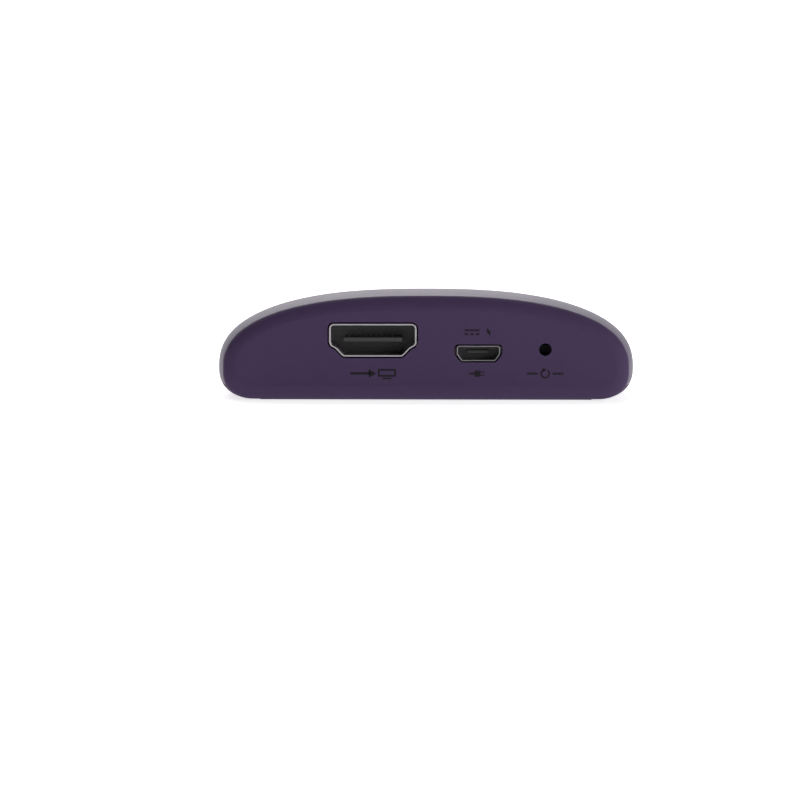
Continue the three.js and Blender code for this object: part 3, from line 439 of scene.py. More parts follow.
boolean(cover, window_prism("opening_tool", WINDOW_LINE), "DIFFERENCE")

window_back = WALL + WINDOW_THICKNESS
window = case_skin("window_lens", WINDOW_RECESS, WINDOW_RECESS)
window_core = case_skin("window_core", window_back, window_back)
boolean(window, window_prism("lens_tool", 0), "INTERSECT")
boolean(window, window_core, "DIFFERENCE", keep_tool=True)
flange_face = WALL + WINDOW_LINE
flange = case_skin("flange", flange_face, flange_face)
boolean(flange, window_prism("flange_tool", WINDOW_FLANGE), "INTERSECT")
boolean(flange, window_core, "DIFFERENCE")
boolean(window, flange, "UNION")
tally(window)

# %% [markdown]
# The base is the floor, the low rim and the rear wall as one moulding. Here it is a solid first:
# everything that the cover doesn't take. The room inside is cut out of it, then the raised lip
# that locates the cover is joined on, cut from the case's own form like the window.

# %% The base
FLOOR = 1.6 * MM
REAR_WALL = 2.2 * MM
LIP = 0.9 * MM
LIP_INSET = WALL + FIT_GAP
LIP_TOP = 4.4 * MM
WALL_INSIDE_Y = REAR_Y - REAR_WALL

base = copied(whole_form, "base_tray")
cover_room = box("cover_room", (-BIG, -BIG, PARTING_LEVEL), (BIG, PARTING_Y, BIG))
boolean(base, cover_room, "DIFFERENCE")
room = case_skin("room", LIP_INSET + LIP, FLOOR)
rear_block = box("rear_block", (-BIG, WALL_INSIDE_Y, -BIG), (BIG, BIG, BIG))
boolean(room, rear_block, "DIFFERENCE")
boolean(base, room, "DIFFERENCE", keep_tool=True)

lip = case_skin("lip", LIP_INSET, LIP_INSET)
above_lip = box("above_lip", (-BIG, -BIG, LIP_TOP), (BIG, WALL_INSIDE_Y, BIG))
boolean(lip, above_lip, "DIFFERENCE")
behind_lip = box("behind_lip", (-BIG, PARTING_Y + ROLL_DEPTH / 3, -BIG), (BIG, BIG, BIG))
boolean(lip, behind_lip, "DIFFERENCE")
boolean(lip, room, "DIFFERENCE")
boolean(base, lip, "UNION")
tally(base)

# %% [markdown]
# Four bosses carry the board. Each is a short cylinder whose top is inset and pushed down to make
# the bore that the screw bites into, and stands where the CAD screw stands.

# %% Screw bosses
BOSS_RADIUS = 2.2 * MM
BORE_RADIUS = 1.05 * MM
BORE_DEPTH = 3.8 * MM
BOSS_FOOT = FLOOR / 2
BOSS_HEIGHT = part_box("main_board")[0].z - BOSS_FOOT
BOSSES = 4
for number in range(1, BOSSES + 1):
    low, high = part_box(f"board_screw_{number}")
    spot = ((low.x + high.x) / 2, (low.y + high.y) / 2, BOSS_FOOT + BOSS_HEIGHT / 2)
    bpy.ops.object.select_all(action="DESELECT")
    bpy.ops.mesh.primitive_cylinder_add(
        vertices=48, radius=BOSS_RADIUS, depth=BOSS_HEIGHT, location=spot
    )
    boss = started("boss")
    edit(boss)
    pick(boss, lambda face: face.normal.z > FACING)
    bpy.ops.mesh.inset(thickness=BOSS_RADIUS - BORE_RADIUS, depth=0)
    pushed(z=-BORE_DEPTH)
    leave()
    boolean(base, boss, "UNION")
tally(base)

# %% [markdown]
# Underneath is a shallow recess for the rating label that such a player carries. It is left
# blank. A flat outline turned to face down and drawn out a little makes the tool that sinks it.

# %% The label recess
LABEL_SIZE = (30 * MM, 8.5 * MM)
LABEL_Y = -7.5 * MM
LABEL_DEPTH = 0.15 * MM
LABEL_CORNER = 1 * MM
bpy.ops.object.select_all(action="DESELECT")
bpy.ops.mesh.primitive_plane_add(size=1, location=(0, LABEL_Y, LABEL_DEPTH))
bpy.context.active_object.scale = (*LABEL_SIZE, 1)
label = started("label_tool")
edit_all(label)
bpy.ops.mesh.bevel(offset=LABEL_CORNER, segments=8, affect="VERTICES")
bpy.ops.mesh.select_all(action="SELECT")
pushed(z=-OVERRUN)
leave()
face_out(label)
boolean(base, label, "DIFFERENCE")
tally(base)

# %% [markdown]
# Each socket is drawn as one flat face that is sliced across and has its points moved and
# rounded, level by level. This face makes everything that has to match: the opening in the rear
# wall, swollen by the clearance, the pressed shell and the resin block inside it. The video
# socket is wide above and steps in through sloping shoulders to a narrow foot, and the power
# socket slopes in below, which keeps their plugs the right way up.

# %% Socket outlines
video_low, video_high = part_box("hdmi_shell")
VIDEO_WIDTH = video_high.x - video_low.x
VIDEO_HEIGHT = 5.6 * MM
VIDEO_X = (video_low.x + video_high.x) / 2
VIDEO_Z = video_high.z - VIDEO_HEIGHT / 2
SHOULDER_TOP = -0.9 * MM
SHOULDER_FOOT = -1.38 * MM
SHOULDER_HALF_WIDTH = 6.35 * MM
VIDEO_FOOT_HALF_WIDTH = 5.02 * MM
VIDEO_CORNERS = (0.85 * MM, 0.6 * MM, 0.3 * MM, 0.32 * MM)
power_low, power_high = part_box("usb_shell")
POWER_WIDTH = power_high.x - power_low.x
POWER_HEIGHT = power_high.z - power_low.z
POWER_X = (power_low.x + power_high.x) / 2
POWER_Z = (power_low.z + power_high.z) / 2
POWER_SLOPE_TOP = -0.15 * MM
POWER_FOOT_HALF_WIDTH = 2.85 * MM
POWER_CORNERS = (0.42 * MM, 0.35 * MM, 0.25 * MM)


def socket_outline(name, width, height, x, z, steps):
    """A rectangle narrowed at lower levels; each step is a level, a half-width and a corner."""
    face = plate(name, width, height, x, z)
    edit(face)
    for level, _, _ in steps:
        if abs(level) < height / 2 - NEAR:
            sliced((0, 0, z + level), (0, 0, 1))
    leave()
    for point in face.data.vertices:
        for level, half_width, _ in steps:
            if abs(point.co.z - z - level) < NEAR:
                point.co.x = x + math.copysign(half_width, point.co.x - x)
    edit_all(face)
    bpy.ops.mesh.dissolve_faces()
    for level, _, corner in steps:
        pick(face, lambda point: abs(point.co.z - z - level) < NEAR, "VERT")
        bpy.ops.mesh.bevel(offset=corner, segments=6, affect="VERTICES")
    leave()
    return face


def video_outline(name):
    heights = (VIDEO_HEIGHT / 2, SHOULDER_TOP, SHOULDER_FOOT, -VIDEO_HEIGHT / 2)
    half_widths = (VIDEO_WIDTH / 2, VIDEO_WIDTH / 2, SHOULDER_HALF_WIDTH, VIDEO_FOOT_HALF_WIDTH)
    steps = list(zip(heights, half_widths, VIDEO_CORNERS))
    return socket_outline(name, VIDEO_WIDTH, VIDEO_HEIGHT, VIDEO_X, VIDEO_Z, steps)


def power_outline(name, trim=0):
    """The trim is what each side is slimmer than the CAD's."""
    half_width = POWER_WIDTH / 2 - trim
    heights = (POWER_HEIGHT / 2, POWER_SLOPE_TOP, -POWER_HEIGHT / 2)
    half_widths = (half_width, half_width, POWER_FOOT_HALF_WIDTH)
    steps = list(zip(heights, half_widths, POWER_CORNERS))
    return socket_outline(name, 2 * half_width, POWER_HEIGHT, POWER_X, POWER_Z, steps)


def swollen(piece, by):
    """Moves every wall of a prism outwards by the same amount."""
    edit_all(piece)
    bpy.ops.transform.shrink_fatten(value=by, use_even_offset=True)
    leave()
    return piece


def shrunk(face, by):
    """Draws a flat outline in by the same amount all round."""
    edit_all(face)
    bpy.ops.mesh.inset(thickness=by, depth=0)
    bpy.ops.mesh.select_all(action="INVERT")
    bpy.ops.mesh.delete(type="FACE")
    leave()
    return face


# %% Openings in the rear wall
PORT_GAP = 0.22 * MM
PINHOLE_RADIUS = 1.06 * MM
plunger_low, plunger_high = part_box("reset_plunger")
RESET_X = (plunger_low.x + plunger_high.x) / 2
RESET_Z = (plunger_low.z + plunger_high.z) / 2

for outline in (video_outline("video_opening"), power_outline("power_opening")):
    tool = drawn(outline, WALL_INSIDE_Y - 2 * OVERRUN, REAR_Y + OVERRUN)
    boolean(base, swollen(tool, PORT_GAP), "DIFFERENCE")

bpy.ops.object.select_all(action="DESELECT")
bpy.ops.mesh.primitive_cylinder_add(
    vertices=64,
    radius=PINHOLE_RADIUS,
    depth=3 * REAR_WALL,
    location=(RESET_X, REAR_Y, RESET_Z),
    rotation=(math.pi / 2, 0, 0),
)
boolean(base, started("pinhole_tool"), "DIFFERENCE")
for piece in (cover, base, window):
    smooth(piece)
tally(base)

# %% [markdown]
# A socket's shell is thin steel folded into a tube. The outline is drawn out along the board, its
# two end faces are removed, and Solidify gives the sheet its thickness inwards. The bevel rounds
# the mouth, which is what catches the light as a bright line. The power shell is slimmer than
# its opening by more than the video shell is, which leaves a wider dark line round it. The video
# shell also has four legs that are soldered through the board.

# %% Socket shells
VIDEO_SHEET = 0.31 * MM
POWER_SHEET = 0.2 * MM
POWER_SLACK = 0.04 * MM
POWER_TRIM = 0.14 * MM


def pressed_shell(name, outline, sheet, back_y, mouth_y):
    shell = drawn(outline, back_y, mouth_y)
    shell.name = shell.data.name = name
    edit(shell)
    pick(shell, lambda face: abs(face.normal.y) > FACING)
    bpy.ops.mesh.delete(type="FACE")
    leave()
    finish_with(shell, "SOLIDIFY", thickness=sheet, offset=-1, use_even_offset=True)
    edge_broken(shell, sheet / 4, segments=3, angle=60)
    return shell


video_shell = pressed_shell(
    "video_socket_shell", video_outline("video_tube"), VIDEO_SHEET, video_low.y, video_high.y
)
power_shell = pressed_shell(
    "power_socket_shell",
    shrunk(power_outline("power_tube", POWER_TRIM), POWER_SLACK),
    POWER_SHEET,
    power_low.y,
    power_high.y,
)

# %% The video shell's legs
LEG_WIDTH = 1.2 * MM
LEG_FROM_BACK = 2 * MM
LEG_FROM_WALL = 2.5 * MM
LEG_TOP_DROP = 0.5 * MM


def socket_leg(side_x, leg_y):
    """A leg that lies on the shell's side and reaches down to a narrowed tip."""
    low = (side_x, leg_y - LEG_WIDTH / 2, video_low.z)
    high = (side_x + VIDEO_SHEET, leg_y + LEG_WIDTH / 2, VIDEO_Z - LEG_TOP_DROP)
    leg = box("leg", low, high)

    def beside_tip(edge):
        spot = middle(edge)
        return abs(spot.z - video_low.z) < NEAR and abs(spot.y - leg_y) > NEAR

    edit(leg)
    pick(leg, beside_tip, "EDGE")
    bpy.ops.mesh.bevel(offset=LEG_WIDTH / 3, segments=1, affect="EDGES")
    leave()
    return leg


leg_sides = (video_low.x, video_high.x - VIDEO_SHEET)
leg_rows = (video_low.y + LEG_FROM_BACK, WALL_INSIDE_Y - LEG_FROM_WALL)
legs = [socket_leg(side_x, leg_y) for side_x in leg_sides for leg_y in leg_rows]
video_shell = joined("video_socket_shell", [video_shell, *legs])
for piece in (video_shell, power_shell):
    smooth(piece, 40)
    tally(piece)


# %% [markdown]
# Inside each shell sits a block of glass-filled resin with a tongue that carries the contacts.
# The block is the socket's own outline, drawn in by the sheet and extruded, and the tongue is a
# rounded plate joined to it by a union.

# %% Resin blocks
BLOCK_CLEARANCE = 0.03 * MM
TONGUE_BREAK = 0.1 * MM


def resin_block(name, core, back_y, face_y, tongue, tip_y):
    """A block from back_y to face_y whose tongue (x, z, width, thickness) reaches tip_y."""
    block = drawn(core, back_y, face_y)
    block.name = block.data.name = name
    x, z, width, thickness = tongue
    blade = drawn(plate("blade", width, thickness, x, z, thickness / 4, segments=3), back_y, tip_y)
    edge_broken(blade, TONGUE_BREAK, angle=60)
    boolean(block, blade, "UNION")
    smooth(block, 40)
    tally(block)
    return block


VIDEO_BLOCK_DEPTH = 6.6 * MM
VIDEO_BLADE = (9.9 * MM, 0.7 * MM)
VIDEO_BLADE_RISE = 0.08 * MM
VIDEO_BLOCK_FACE = video_low.y + VIDEO_BLOCK_DEPTH
VIDEO_TONGUE = (VIDEO_X, VIDEO_Z + VIDEO_BLADE_RISE, *VIDEO_BLADE)
VIDEO_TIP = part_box("hdmi_insulator")[1].y
video_block = resin_block(
    "video_socket_block",
    shrunk(video_outline("video_core"), VIDEO_SHEET + BLOCK_CLEARANCE),
    video_low.y,
    VIDEO_BLOCK_FACE,
    VIDEO_TONGUE,
    VIDEO_TIP,
)

POWER_BLOCK_DEPTH = 2.4 * MM
POWER_BLADE = (3.7 * MM, 0.55 * MM)
POWER_BLADE_RISE = 0.12 * MM
POWER_TIP_SHORT = 1.4 * MM
POWER_BLOCK_FACE = power_low.y + POWER_BLOCK_DEPTH
POWER_TONGUE = (POWER_X, POWER_Z + POWER_BLADE_RISE, *POWER_BLADE)
POWER_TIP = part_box("usb_insulator")[1].y - POWER_TIP_SHORT
POWER_DRAWN_IN = POWER_SLACK + POWER_SHEET + BLOCK_CLEARANCE
power_block = resin_block(
    "power_socket_block",
    shrunk(power_outline("power_core", POWER_TRIM), POWER_DRAWN_IN),
    power_low.y,
    POWER_BLOCK_FACE,
    POWER_TONGUE,
    POWER_TIP,
)

# %% [markdown]
# The contacts are narrow gilt strips laid along the tongues: ten above and nine below on the
# video socket, set half a pitch apart, and five below on the power socket. One strip is modelled,
# with its leading end sloped so that a plug slides onto it, and copied along the row.

# %% Contact strips
CONTACT_RISE = 0.05 * MM
CONTACT_LEAD = 0.25 * MM
CONTACT_WIDTH = 0.3 * MM
VIDEO_PITCH = 0.92 * MM
VIDEO_UPPER = 10
VIDEO_LOWER = 9
VIDEO_FROM_TIP = 2.4 * MM
POWER_PITCH = 0.65 * MM
POWER_LOWER = 5
POWER_FROM_TIP = 0.4 * MM


def contact_strip(face_y, tip_y, level, up):
    """One strip on the middle of a tongue's upper (up = 1) or lower (up = -1) face."""
    low = (-CONTACT_WIDTH / 2, face_y, level - CONTACT_RISE)
    high = (CONTACT_WIDTH / 2, tip_y, level + CONTACT_RISE)
    strip = box("strip", low, high)

    def leading(edge):
        spot = middle(edge)
        return abs(spot.y - tip_y) < NEAR and (spot.z - level) * up > NEAR

    edit(strip)
    pick(strip, leading, "EDGE")
    bpy.ops.transform.translate(value=(0, -CONTACT_LEAD, 0))
    leave()
    return strip


def contact_row(count, pitch, x, face_y, tip_y, level, up):
    first = contact_strip(face_y, tip_y, level, up)
    strips = [first] + [copied(first, "strip") for _ in range(count - 1)]
    for i, strip in enumerate(strips):
        edit_all(strip)
        bpy.ops.transform.translate(value=(x + (i - (count - 1) / 2) * pitch, 0, 0))
        leave()
    return strips


def tongue_levels(tongue):
    _, z, _, thickness = tongue
    return z + thickness / 2, z - thickness / 2


upper, lower = tongue_levels(VIDEO_TONGUE)
video_end = VIDEO_TIP - VIDEO_FROM_TIP
video_contacts = joined(
    "video_contacts",
    contact_row(VIDEO_UPPER, VIDEO_PITCH, VIDEO_X, VIDEO_BLOCK_FACE, video_end, upper, 1)
    + contact_row(VIDEO_LOWER, VIDEO_PITCH, VIDEO_X, VIDEO_BLOCK_FACE, video_end, lower, -1),
)
_, lower = tongue_levels(POWER_TONGUE)
power_end = POWER_TIP - POWER_FROM_TIP
power_contacts = joined(
    "power_contacts",
    contact_row(POWER_LOWER, POWER_PITCH, POWER_X, POWER_BLOCK_FACE, power_end, lower, -1),
)
for piece in (video_contacts, power_contacts):
    tally(piece)

# %% [markdown]
# Small pictograms printed on the rear face say what each opening is for. They are plain signs
# with no lettering: an arrow into a screen, the sign for direct current with a bolt, a plug, and
# a ring with an arrowhead for starting again. Each is a few flat shapes drawn out to the
# thickness of a film of ink.

# %% Shapes of ink
INK_ROOT = REAR_Y - 0.04 * MM
INK_FACE = REAR_Y + 0.012 * MM
STROKE = 0.32 * MM
BAR_ROUNDING = 0.2


def inked(face):
    return drawn(face, INK_ROOT, INK_FACE)


def bar(x, z, width, height=STROKE):
    """A short stroke with softened corners."""
    corner = min(width, height) * BAR_ROUNDING
    return inked(plate("bar", width, height, x, z, corner, segments=3))


def spike(x, z, radius, turn, width=1.0):
    """A triangle pointing along turn, measured from +X towards +Z."""
    bpy.ops.object.select_all(action="DESELECT")
    bpy.ops.mesh.primitive_circle_add(vertices=3, radius=radius, fill_type="NGON")
    face = started("spike")
    for point in face.data.vertices:
        along, across = point.co.y, point.co.x * width
        point.co.x = x + along * math.cos(turn) - across * math.sin(turn)
        point.co.z = z + along * math.sin(turn) + across * math.cos(turn)
        point.co.y = 0
    return inked(face)


def frame_of(face, stroke):
    """Leaves only a band round the outline of a flat face."""
    edit_all(face)
    bpy.ops.mesh.inset(thickness=stroke, depth=0)
    bpy.ops.mesh.delete(type="FACE")
    leave()
    return face


def open_ring(x, z, radius, stroke, gap_from, gap_to):
    """A ring in X and Z with a gap between two turns, measured from +X towards +Z."""
    bpy.ops.object.select_all(action="DESELECT")
    bpy.ops.mesh.primitive_circle_add(
        vertices=60,
        radius=radius + stroke / 2,
        fill_type="NGON",
        location=(x, 0, z),
        rotation=(math.pi / 2, 0, 0),
    )
    ring = frame_of(started("ring"), stroke)
    edit(ring)

    def in_gap(face):
        spot = middle(face)
        turn = math.atan2(spot.z - z, spot.x - x) % (2 * math.pi)
        return gap_from < turn < gap_to

    pick(ring, in_gap)
    bpy.ops.mesh.delete(type="FACE")
    leave()
    return inked(ring)


# %% The video sign: an arrow into a screen
LOWER_SIGN_Z = 4.7 * MM
SCREEN = (3.1 * MM, 1.35 * MM)
SCREEN_CORNER = 0.3 * MM
SCREEN_RISE = 0.1 * MM
SCREEN_X = VIDEO_X - 2.4 * MM
STAND = (1.5 * MM, 0.26 * MM)
STAND_DROP = 0.85 * MM
SHAFT = (3.4 * MM, 0.42 * MM)
SHAFT_X = VIDEO_X + 2.1 * MM
ARROWHEAD = 0.85 * MM
ARROWHEAD_X = VIDEO_X + 0.25 * MM

screen = plate("screen", *SCREEN, SCREEN_X, LOWER_SIGN_Z + SCREEN_RISE, SCREEN_CORNER)
video_sign = joined(
    "video_sign",
    [
        inked(frame_of(screen, STROKE)),
        bar(SCREEN_X, LOWER_SIGN_Z - STAND_DROP, *STAND),
        bar(SHAFT_X, LOWER_SIGN_Z, *SHAFT),
        spike(ARROWHEAD_X, LOWER_SIGN_Z, ARROWHEAD, math.pi),
    ],
)

# %% The direct-current sign with a bolt
UPPER_SIGN_Z = POWER_Z + 3.6 * MM
CURRENT_X = POWER_X + 1.1 * MM
LINE_WIDTH = 2.5 * MM
LINE_RISE = 0.3 * MM
DASH_WIDTH = 0.6 * MM
DASH_PITCH = 0.95 * MM
DASH_DROP = 0.36 * MM
BOLT_X = POWER_X - 1.7 * MM
BOLT_SPIKE = 0.6 * MM
BOLT_ASIDE = 0.12 * MM
BOLT_RISE = 0.2 * MM
BOLT_TURN = math.radians(80)
BOLT_SLIMNESS = 0.55


def half_bolt(way):
    """The upper (way = 1) or lower (way = -1) half of the bolt."""
    turn = BOLT_TURN if way > 0 else BOLT_TURN + math.pi
    x, z = BOLT_X + way * BOLT_ASIDE, UPPER_SIGN_Z + way * BOLT_RISE
    return spike(x, z, BOLT_SPIKE, turn, BOLT_SLIMNESS)


dash_z = UPPER_SIGN_Z - DASH_DROP
dashes = [bar(CURRENT_X + i * DASH_PITCH, dash_z, DASH_WIDTH) for i in (-1, 0, 1)]
bolt = [half_bolt(1), half_bolt(-1)]
current_line = bar(CURRENT_X, UPPER_SIGN_Z + LINE_RISE, LINE_WIDTH)
current_sign = joined("current_sign", [current_line, *dashes, *bolt])

# %% The plug sign
PLUG_X = POWER_X + 0.15 * MM
PLUG_BODY = (1.0 * MM, 1.1 * MM)
PLUG_CORNER = 0.3 * MM
CORD_WIDTH = 1.0 * MM
CORD_X = PLUG_X + 0.95 * MM
PRONG = (0.75 * MM, 0.2 * MM)
PRONG_X = PLUG_X - 0.8 * MM
PRONG_APART = 0.27 * MM

plug_sign = joined(
    "plug_sign",
    [
        inked(plate("plug_body", *PLUG_BODY, PLUG_X, LOWER_SIGN_Z, PLUG_CORNER)),
        bar(CORD_X, LOWER_SIGN_Z, CORD_WIDTH),
        bar(PRONG_X, LOWER_SIGN_Z + PRONG_APART, *PRONG),
        bar(PRONG_X, LOWER_SIGN_Z - PRONG_APART, *PRONG),
    ],
)

# %% The restart sign: a ring with an arrowhead, between two strokes
RING_RADIUS = 0.68 * MM
RING_STROKE = 0.26 * MM
RING_GAP = (math.radians(75), math.radians(125))
RING_HEAD = 0.42 * MM
SIDE_STROKE = 1.8 * MM
SIDE_APART = 2.15 * MM
head_turn = RING_GAP[0]
restart_sign = joined(
    "restart_sign",
    [
        open_ring(RESET_X, LOWER_SIGN_Z, RING_RADIUS, RING_STROKE, *RING_GAP),
        spike(
            RESET_X + RING_RADIUS * math.cos(head_turn),
            LOWER_SIGN_Z + RING_RADIUS * math.sin(head_turn),
            RING_HEAD,
            head_turn + math.pi / 2,
        ),
        bar(RESET_X + SIDE_APART, LOWER_SIGN_Z, SIDE_STROKE),
        bar(RESET_X - SIDE_APART, LOWER_SIGN_Z, SIDE_STROKE),
    ],
)
signs = [video_sign, current_sign, plug_sign, restart_sign]
for piece in signs:
    tally(piece)

# %% [markdown]
# A finish is a small program of nodes. Two classes keep it readable. A Signal is one output of a
# node, and adding or multiplying Signals lays the Math nodes for it. A Finish is one material:
# its add method lays any other node from its type, its settings and what goes into its sockets.


# %% A way to write finishes
class Signal:
    """A value that varies over a surface, open to plain arithmetic."""

    def __init__(self, finish, socket):
        self.finish = finish
        self.socket = socket

    def with_math(self, operation, first, second):
        return self.finish.add("ShaderNodeMath", {"operation": operation}, {0: first, 1: second})

    def __add__(self, other):
        return self.with_math("ADD", self, other)

    def __radd__(self, other):
        return self.with_math("ADD", other, self)

    def __sub__(self, other):
        return self.with_math("SUBTRACT", self, other)

    def __rsub__(self, other):
        return self.with_math("SUBTRACT", other, self)

    def __mul__(self, other):
        return self.with_math("MULTIPLY", self, other)

    def __rmul__(self, other):
        return self.with_math("MULTIPLY", other, self)


class Finish:
    """One material, with the patterns that these finishes are made of."""

    def __init__(self, name):
        self.material = bpy.data.materials.new(name)
        self.material.use_nodes = True
        self.tree = self.material.node_tree
        self.shader = self.tree.nodes["Principled BSDF"]

    def add(self, kind, settings, sockets, output=0):
        """Lays a node, sets it, fills its sockets and gives back one of its outputs."""
        node = self.tree.nodes.new(kind)
        for name, value in settings.items():
            setattr(node, name, value)
        for name, value in sockets.items():
            self.feed(node.inputs[name], value)
        return Signal(self, node.outputs[output])

    def feed(self, socket, value):
        if isinstance(value, Signal):
            self.tree.links.new(value.socket, socket)
        else:
            socket.default_value = value

    def place(self, centre=(0, 0, 0), stretch=(1, 1, 1)):
        """Object coordinates measured from a centre and stretched along each axis."""
        spot = self.add("ShaderNodeTexCoord", {}, {}, "Object")
        shift = [-c * s for c, s in zip(centre, stretch)]
        sockets = {"Vector": spot, "Location": shift, "Scale": stretch}
        return self.add("ShaderNodeMapping", {}, sockets)

    def noise(self, grain, detail=2.0, stretch=(1, 1, 1)):
        """Soft random values from 0 to 1 whose blots are about one grain across."""
        sockets = {"Vector": self.place(stretch=stretch), "Scale": 1 / grain, "Detail": detail}
        return self.add("ShaderNodeTexNoise", {}, sockets, "Fac")

    def specks(self, pitch):
        """The distance to the nearest of many scattered points, in pitches."""
        sockets = {"Vector": self.place(), "Scale": 1 / pitch}
        return self.add("ShaderNodeTexVoronoi", {}, sockets, "Distance")

    def below(self, value, limit, soft):
        """One where the value is well below the limit, nought where it is above."""
        sockets = {0: value, 1: limit + soft, 2: limit - soft, 3: 0.0, 4: 1.0}
        return self.add("ShaderNodeMapRange", {"interpolation_type": "SMOOTHSTEP"}, sockets)

    def blend(self, share, first, second):
        """A colour that goes from the first to the second."""
        sockets = {0: share, 6: opaque(first), 7: opaque(second)}
        return self.add("ShaderNodeMix", {"data_type": "RGBA"}, sockets, 2)

    def relief(self, height, depth):
        """A normal that makes heights from 0 to 1 stand out by a depth."""
        return self.add("ShaderNodeBump", {}, {"Height": height, "Distance": depth, "Strength": 1.0})

    def coat(self, **sockets):
        """Feeds the shader; the names are its sockets' with underscores."""
        for name, value in sockets.items():
            self.feed(self.shader.inputs[name.replace("_", " ")], value)
        return self.material


def opaque(colour):
    return colour if isinstance(colour, Signal) else (*colour, 1.0)


def tinted(colour, share):
    """The same colour, lighter or darker."""
    return tuple(channel * share for channel in colour)


# %% [markdown]
# The cover and the base are moulded from the same deep purple plastic in two textures. The cover
# comes from a nearly polished mould: satin, with a faint orange-peel waviness, drifting sheen
# where hands have been, and a very fine grain. The base comes from a spark-eroded mould, whose
# tiny craters spread the light, so it stays dark and even where the cover shines.

# %% Case plastics
PURPLE = (0.0375, 0.0165, 0.0655)
COVER_ROUGHNESS = 0.44
BASE_ROUGHNESS = 0.78


def cover_plastic():
    finish = Finish("cover_plastic")
    wave = finish.noise(1.6 * MM, 1.0)
    grain = finish.noise(0.09 * MM, 2.0)
    touched = finish.noise(9 * MM, 3.0)
    colour = finish.blend(touched, tinted(PURPLE, 0.95), tinted(PURPLE, 1.05))
    roughness = COVER_ROUGHNESS - 0.03 + touched * 0.06 + grain * 0.03
    surface = wave * 0.7 + grain * 0.3
    return finish.coat(
        Base_Color=colour, Roughness=roughness, Normal=finish.relief(surface, 0.004 * MM), IOR=1.5
    )


def base_plastic():
    finish = Finish("base_plastic")
    craters = finish.noise(0.12 * MM, 3.0)
    mottle = finish.noise(2.5 * MM, 3.0)
    colour = finish.blend(mottle * 0.6 + craters * 0.4, tinted(PURPLE, 0.9), tinted(PURPLE, 1.1))
    roughness = BASE_ROUGHNESS - 0.04 + craters * 0.12
    return finish.coat(
        Base_Color=colour, Roughness=roughness, Normal=finish.relief(craters, 0.009 * MM), IOR=1.5
    )


def smoked_acrylic():
    finish = Finish("smoked_plastic")
    haze = finish.noise(4 * MM, 2.0)
    colour = finish.blend(haze, (0.006, 0.004, 0.008), (0.011, 0.008, 0.014))
    return finish.coat(Base_Color=colour, Roughness=0.06 + haze * 0.05, IOR=1.49)


def printed_ink():
    finish = Finish("printed_ink")
    cover_of_ink = finish.noise(0.15 * MM, 2.0)
    colour = finish.blend(cover_of_ink, (0.0042, 0.0024, 0.0062), (0.0075, 0.005, 0.010))
    return finish.coat(
        Base_Color=colour, Roughness=0.6 + cover_of_ink * 0.15, Specular_IOR_Level=0.25
    )


# %% [markdown]
# Metals here are thin sheet, plated. What tells them apart is their colour, how rough they are
# and the faint lines left by rolling or drawing, so one function makes them all: noise stretched
# along the way the metal was rolled, in the roughness and in a very shallow relief.


# %% Metals
def rolled_metal(name, colour, roughness, along, line=0.05 * MM, depth=0.002 * MM):
    """Metal whose rolling lines run along X, Y or Z (0, 1 or 2)."""
    finish = Finish(name)
    stretch = tuple(0.04 if axis == along else 1.0 for axis in range(3))
    lines = finish.noise(line, 2.0, stretch)
    stains = finish.noise(1.8 * MM, 3.0)
    tone = finish.blend(stains, tinted(colour, 0.88), tinted(colour, 1.05))
    level = roughness - 0.08 + lines * 0.1 + stains * 0.06
    return finish.coat(
        Base_Color=tone, Metallic=1.0, Roughness=level, Normal=finish.relief(lines, depth)
    )


def black_zinc():
    """Screw plating: dark, slightly oily, worn to bare steel on the highest grain."""
    finish = Finish("screw_steel")
    wear = finish.below(finish.noise(0.3 * MM, 4.0), 0.36, 0.03)
    colour = finish.blend(wear, (0.035, 0.036, 0.040), (0.35, 0.35, 0.36))
    return finish.coat(Base_Color=colour, Metallic=0.9, Roughness=0.42 - wear * 0.12)


# %% [markdown]
# The resins, rubbers and ceramics of the electronics are all matt mixtures with a filler that
# shows as fine specks. The chips also have the small round dimple that marks their first leg, so
# each chip gets a finish of its own that knows where its corner is.


# %% Filled resins
def filled(name, colour, roughness, speck=0.12 * MM, fleck=1.6, depth=0.004 * MM):
    """A resin or rubber with a scattered filler that is lighter or darker than the rest."""
    finish = Finish(name)
    filler = finish.below(finish.specks(speck), 0.28, 0.08)
    cloud = finish.noise(1.2 * MM, 3.0)
    ground = finish.blend(cloud, tinted(colour, 0.85), tinted(colour, 1.15))
    tone = finish.blend(filler * 0.5, ground, tinted(colour, fleck))
    level = roughness - 0.05 + cloud * 0.1
    return finish.coat(Base_Color=tone, Roughness=level, Normal=finish.relief(filler, depth))


def chip_epoxy(node):
    """Black chip resin with a dimple near one corner."""
    low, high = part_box(node)
    finish = Finish(f"chip_resin_{node}")
    inward = 0.16 * min(high.x - low.x, high.y - low.y)
    corner = (low.x + inward, high.y - inward, high.z)
    radius = 0.4 * inward
    from_corner = {0: finish.place(corner)}
    reach = finish.add("ShaderNodeVectorMath", {"operation": "LENGTH"}, from_corner, 1)
    dimple = finish.below(reach, radius, radius * 0.1)
    cloud = finish.noise(0.4 * MM, 3.0)
    colour = finish.blend(cloud, (0.010, 0.010, 0.011), (0.020, 0.020, 0.022))
    surface = (1 - dimple) * 0.9 + cloud * 0.1
    return finish.coat(
        Base_Color=colour, Roughness=0.55 - dimple * 0.3, Normal=finish.relief(surface, 0.05 * MM)
    )


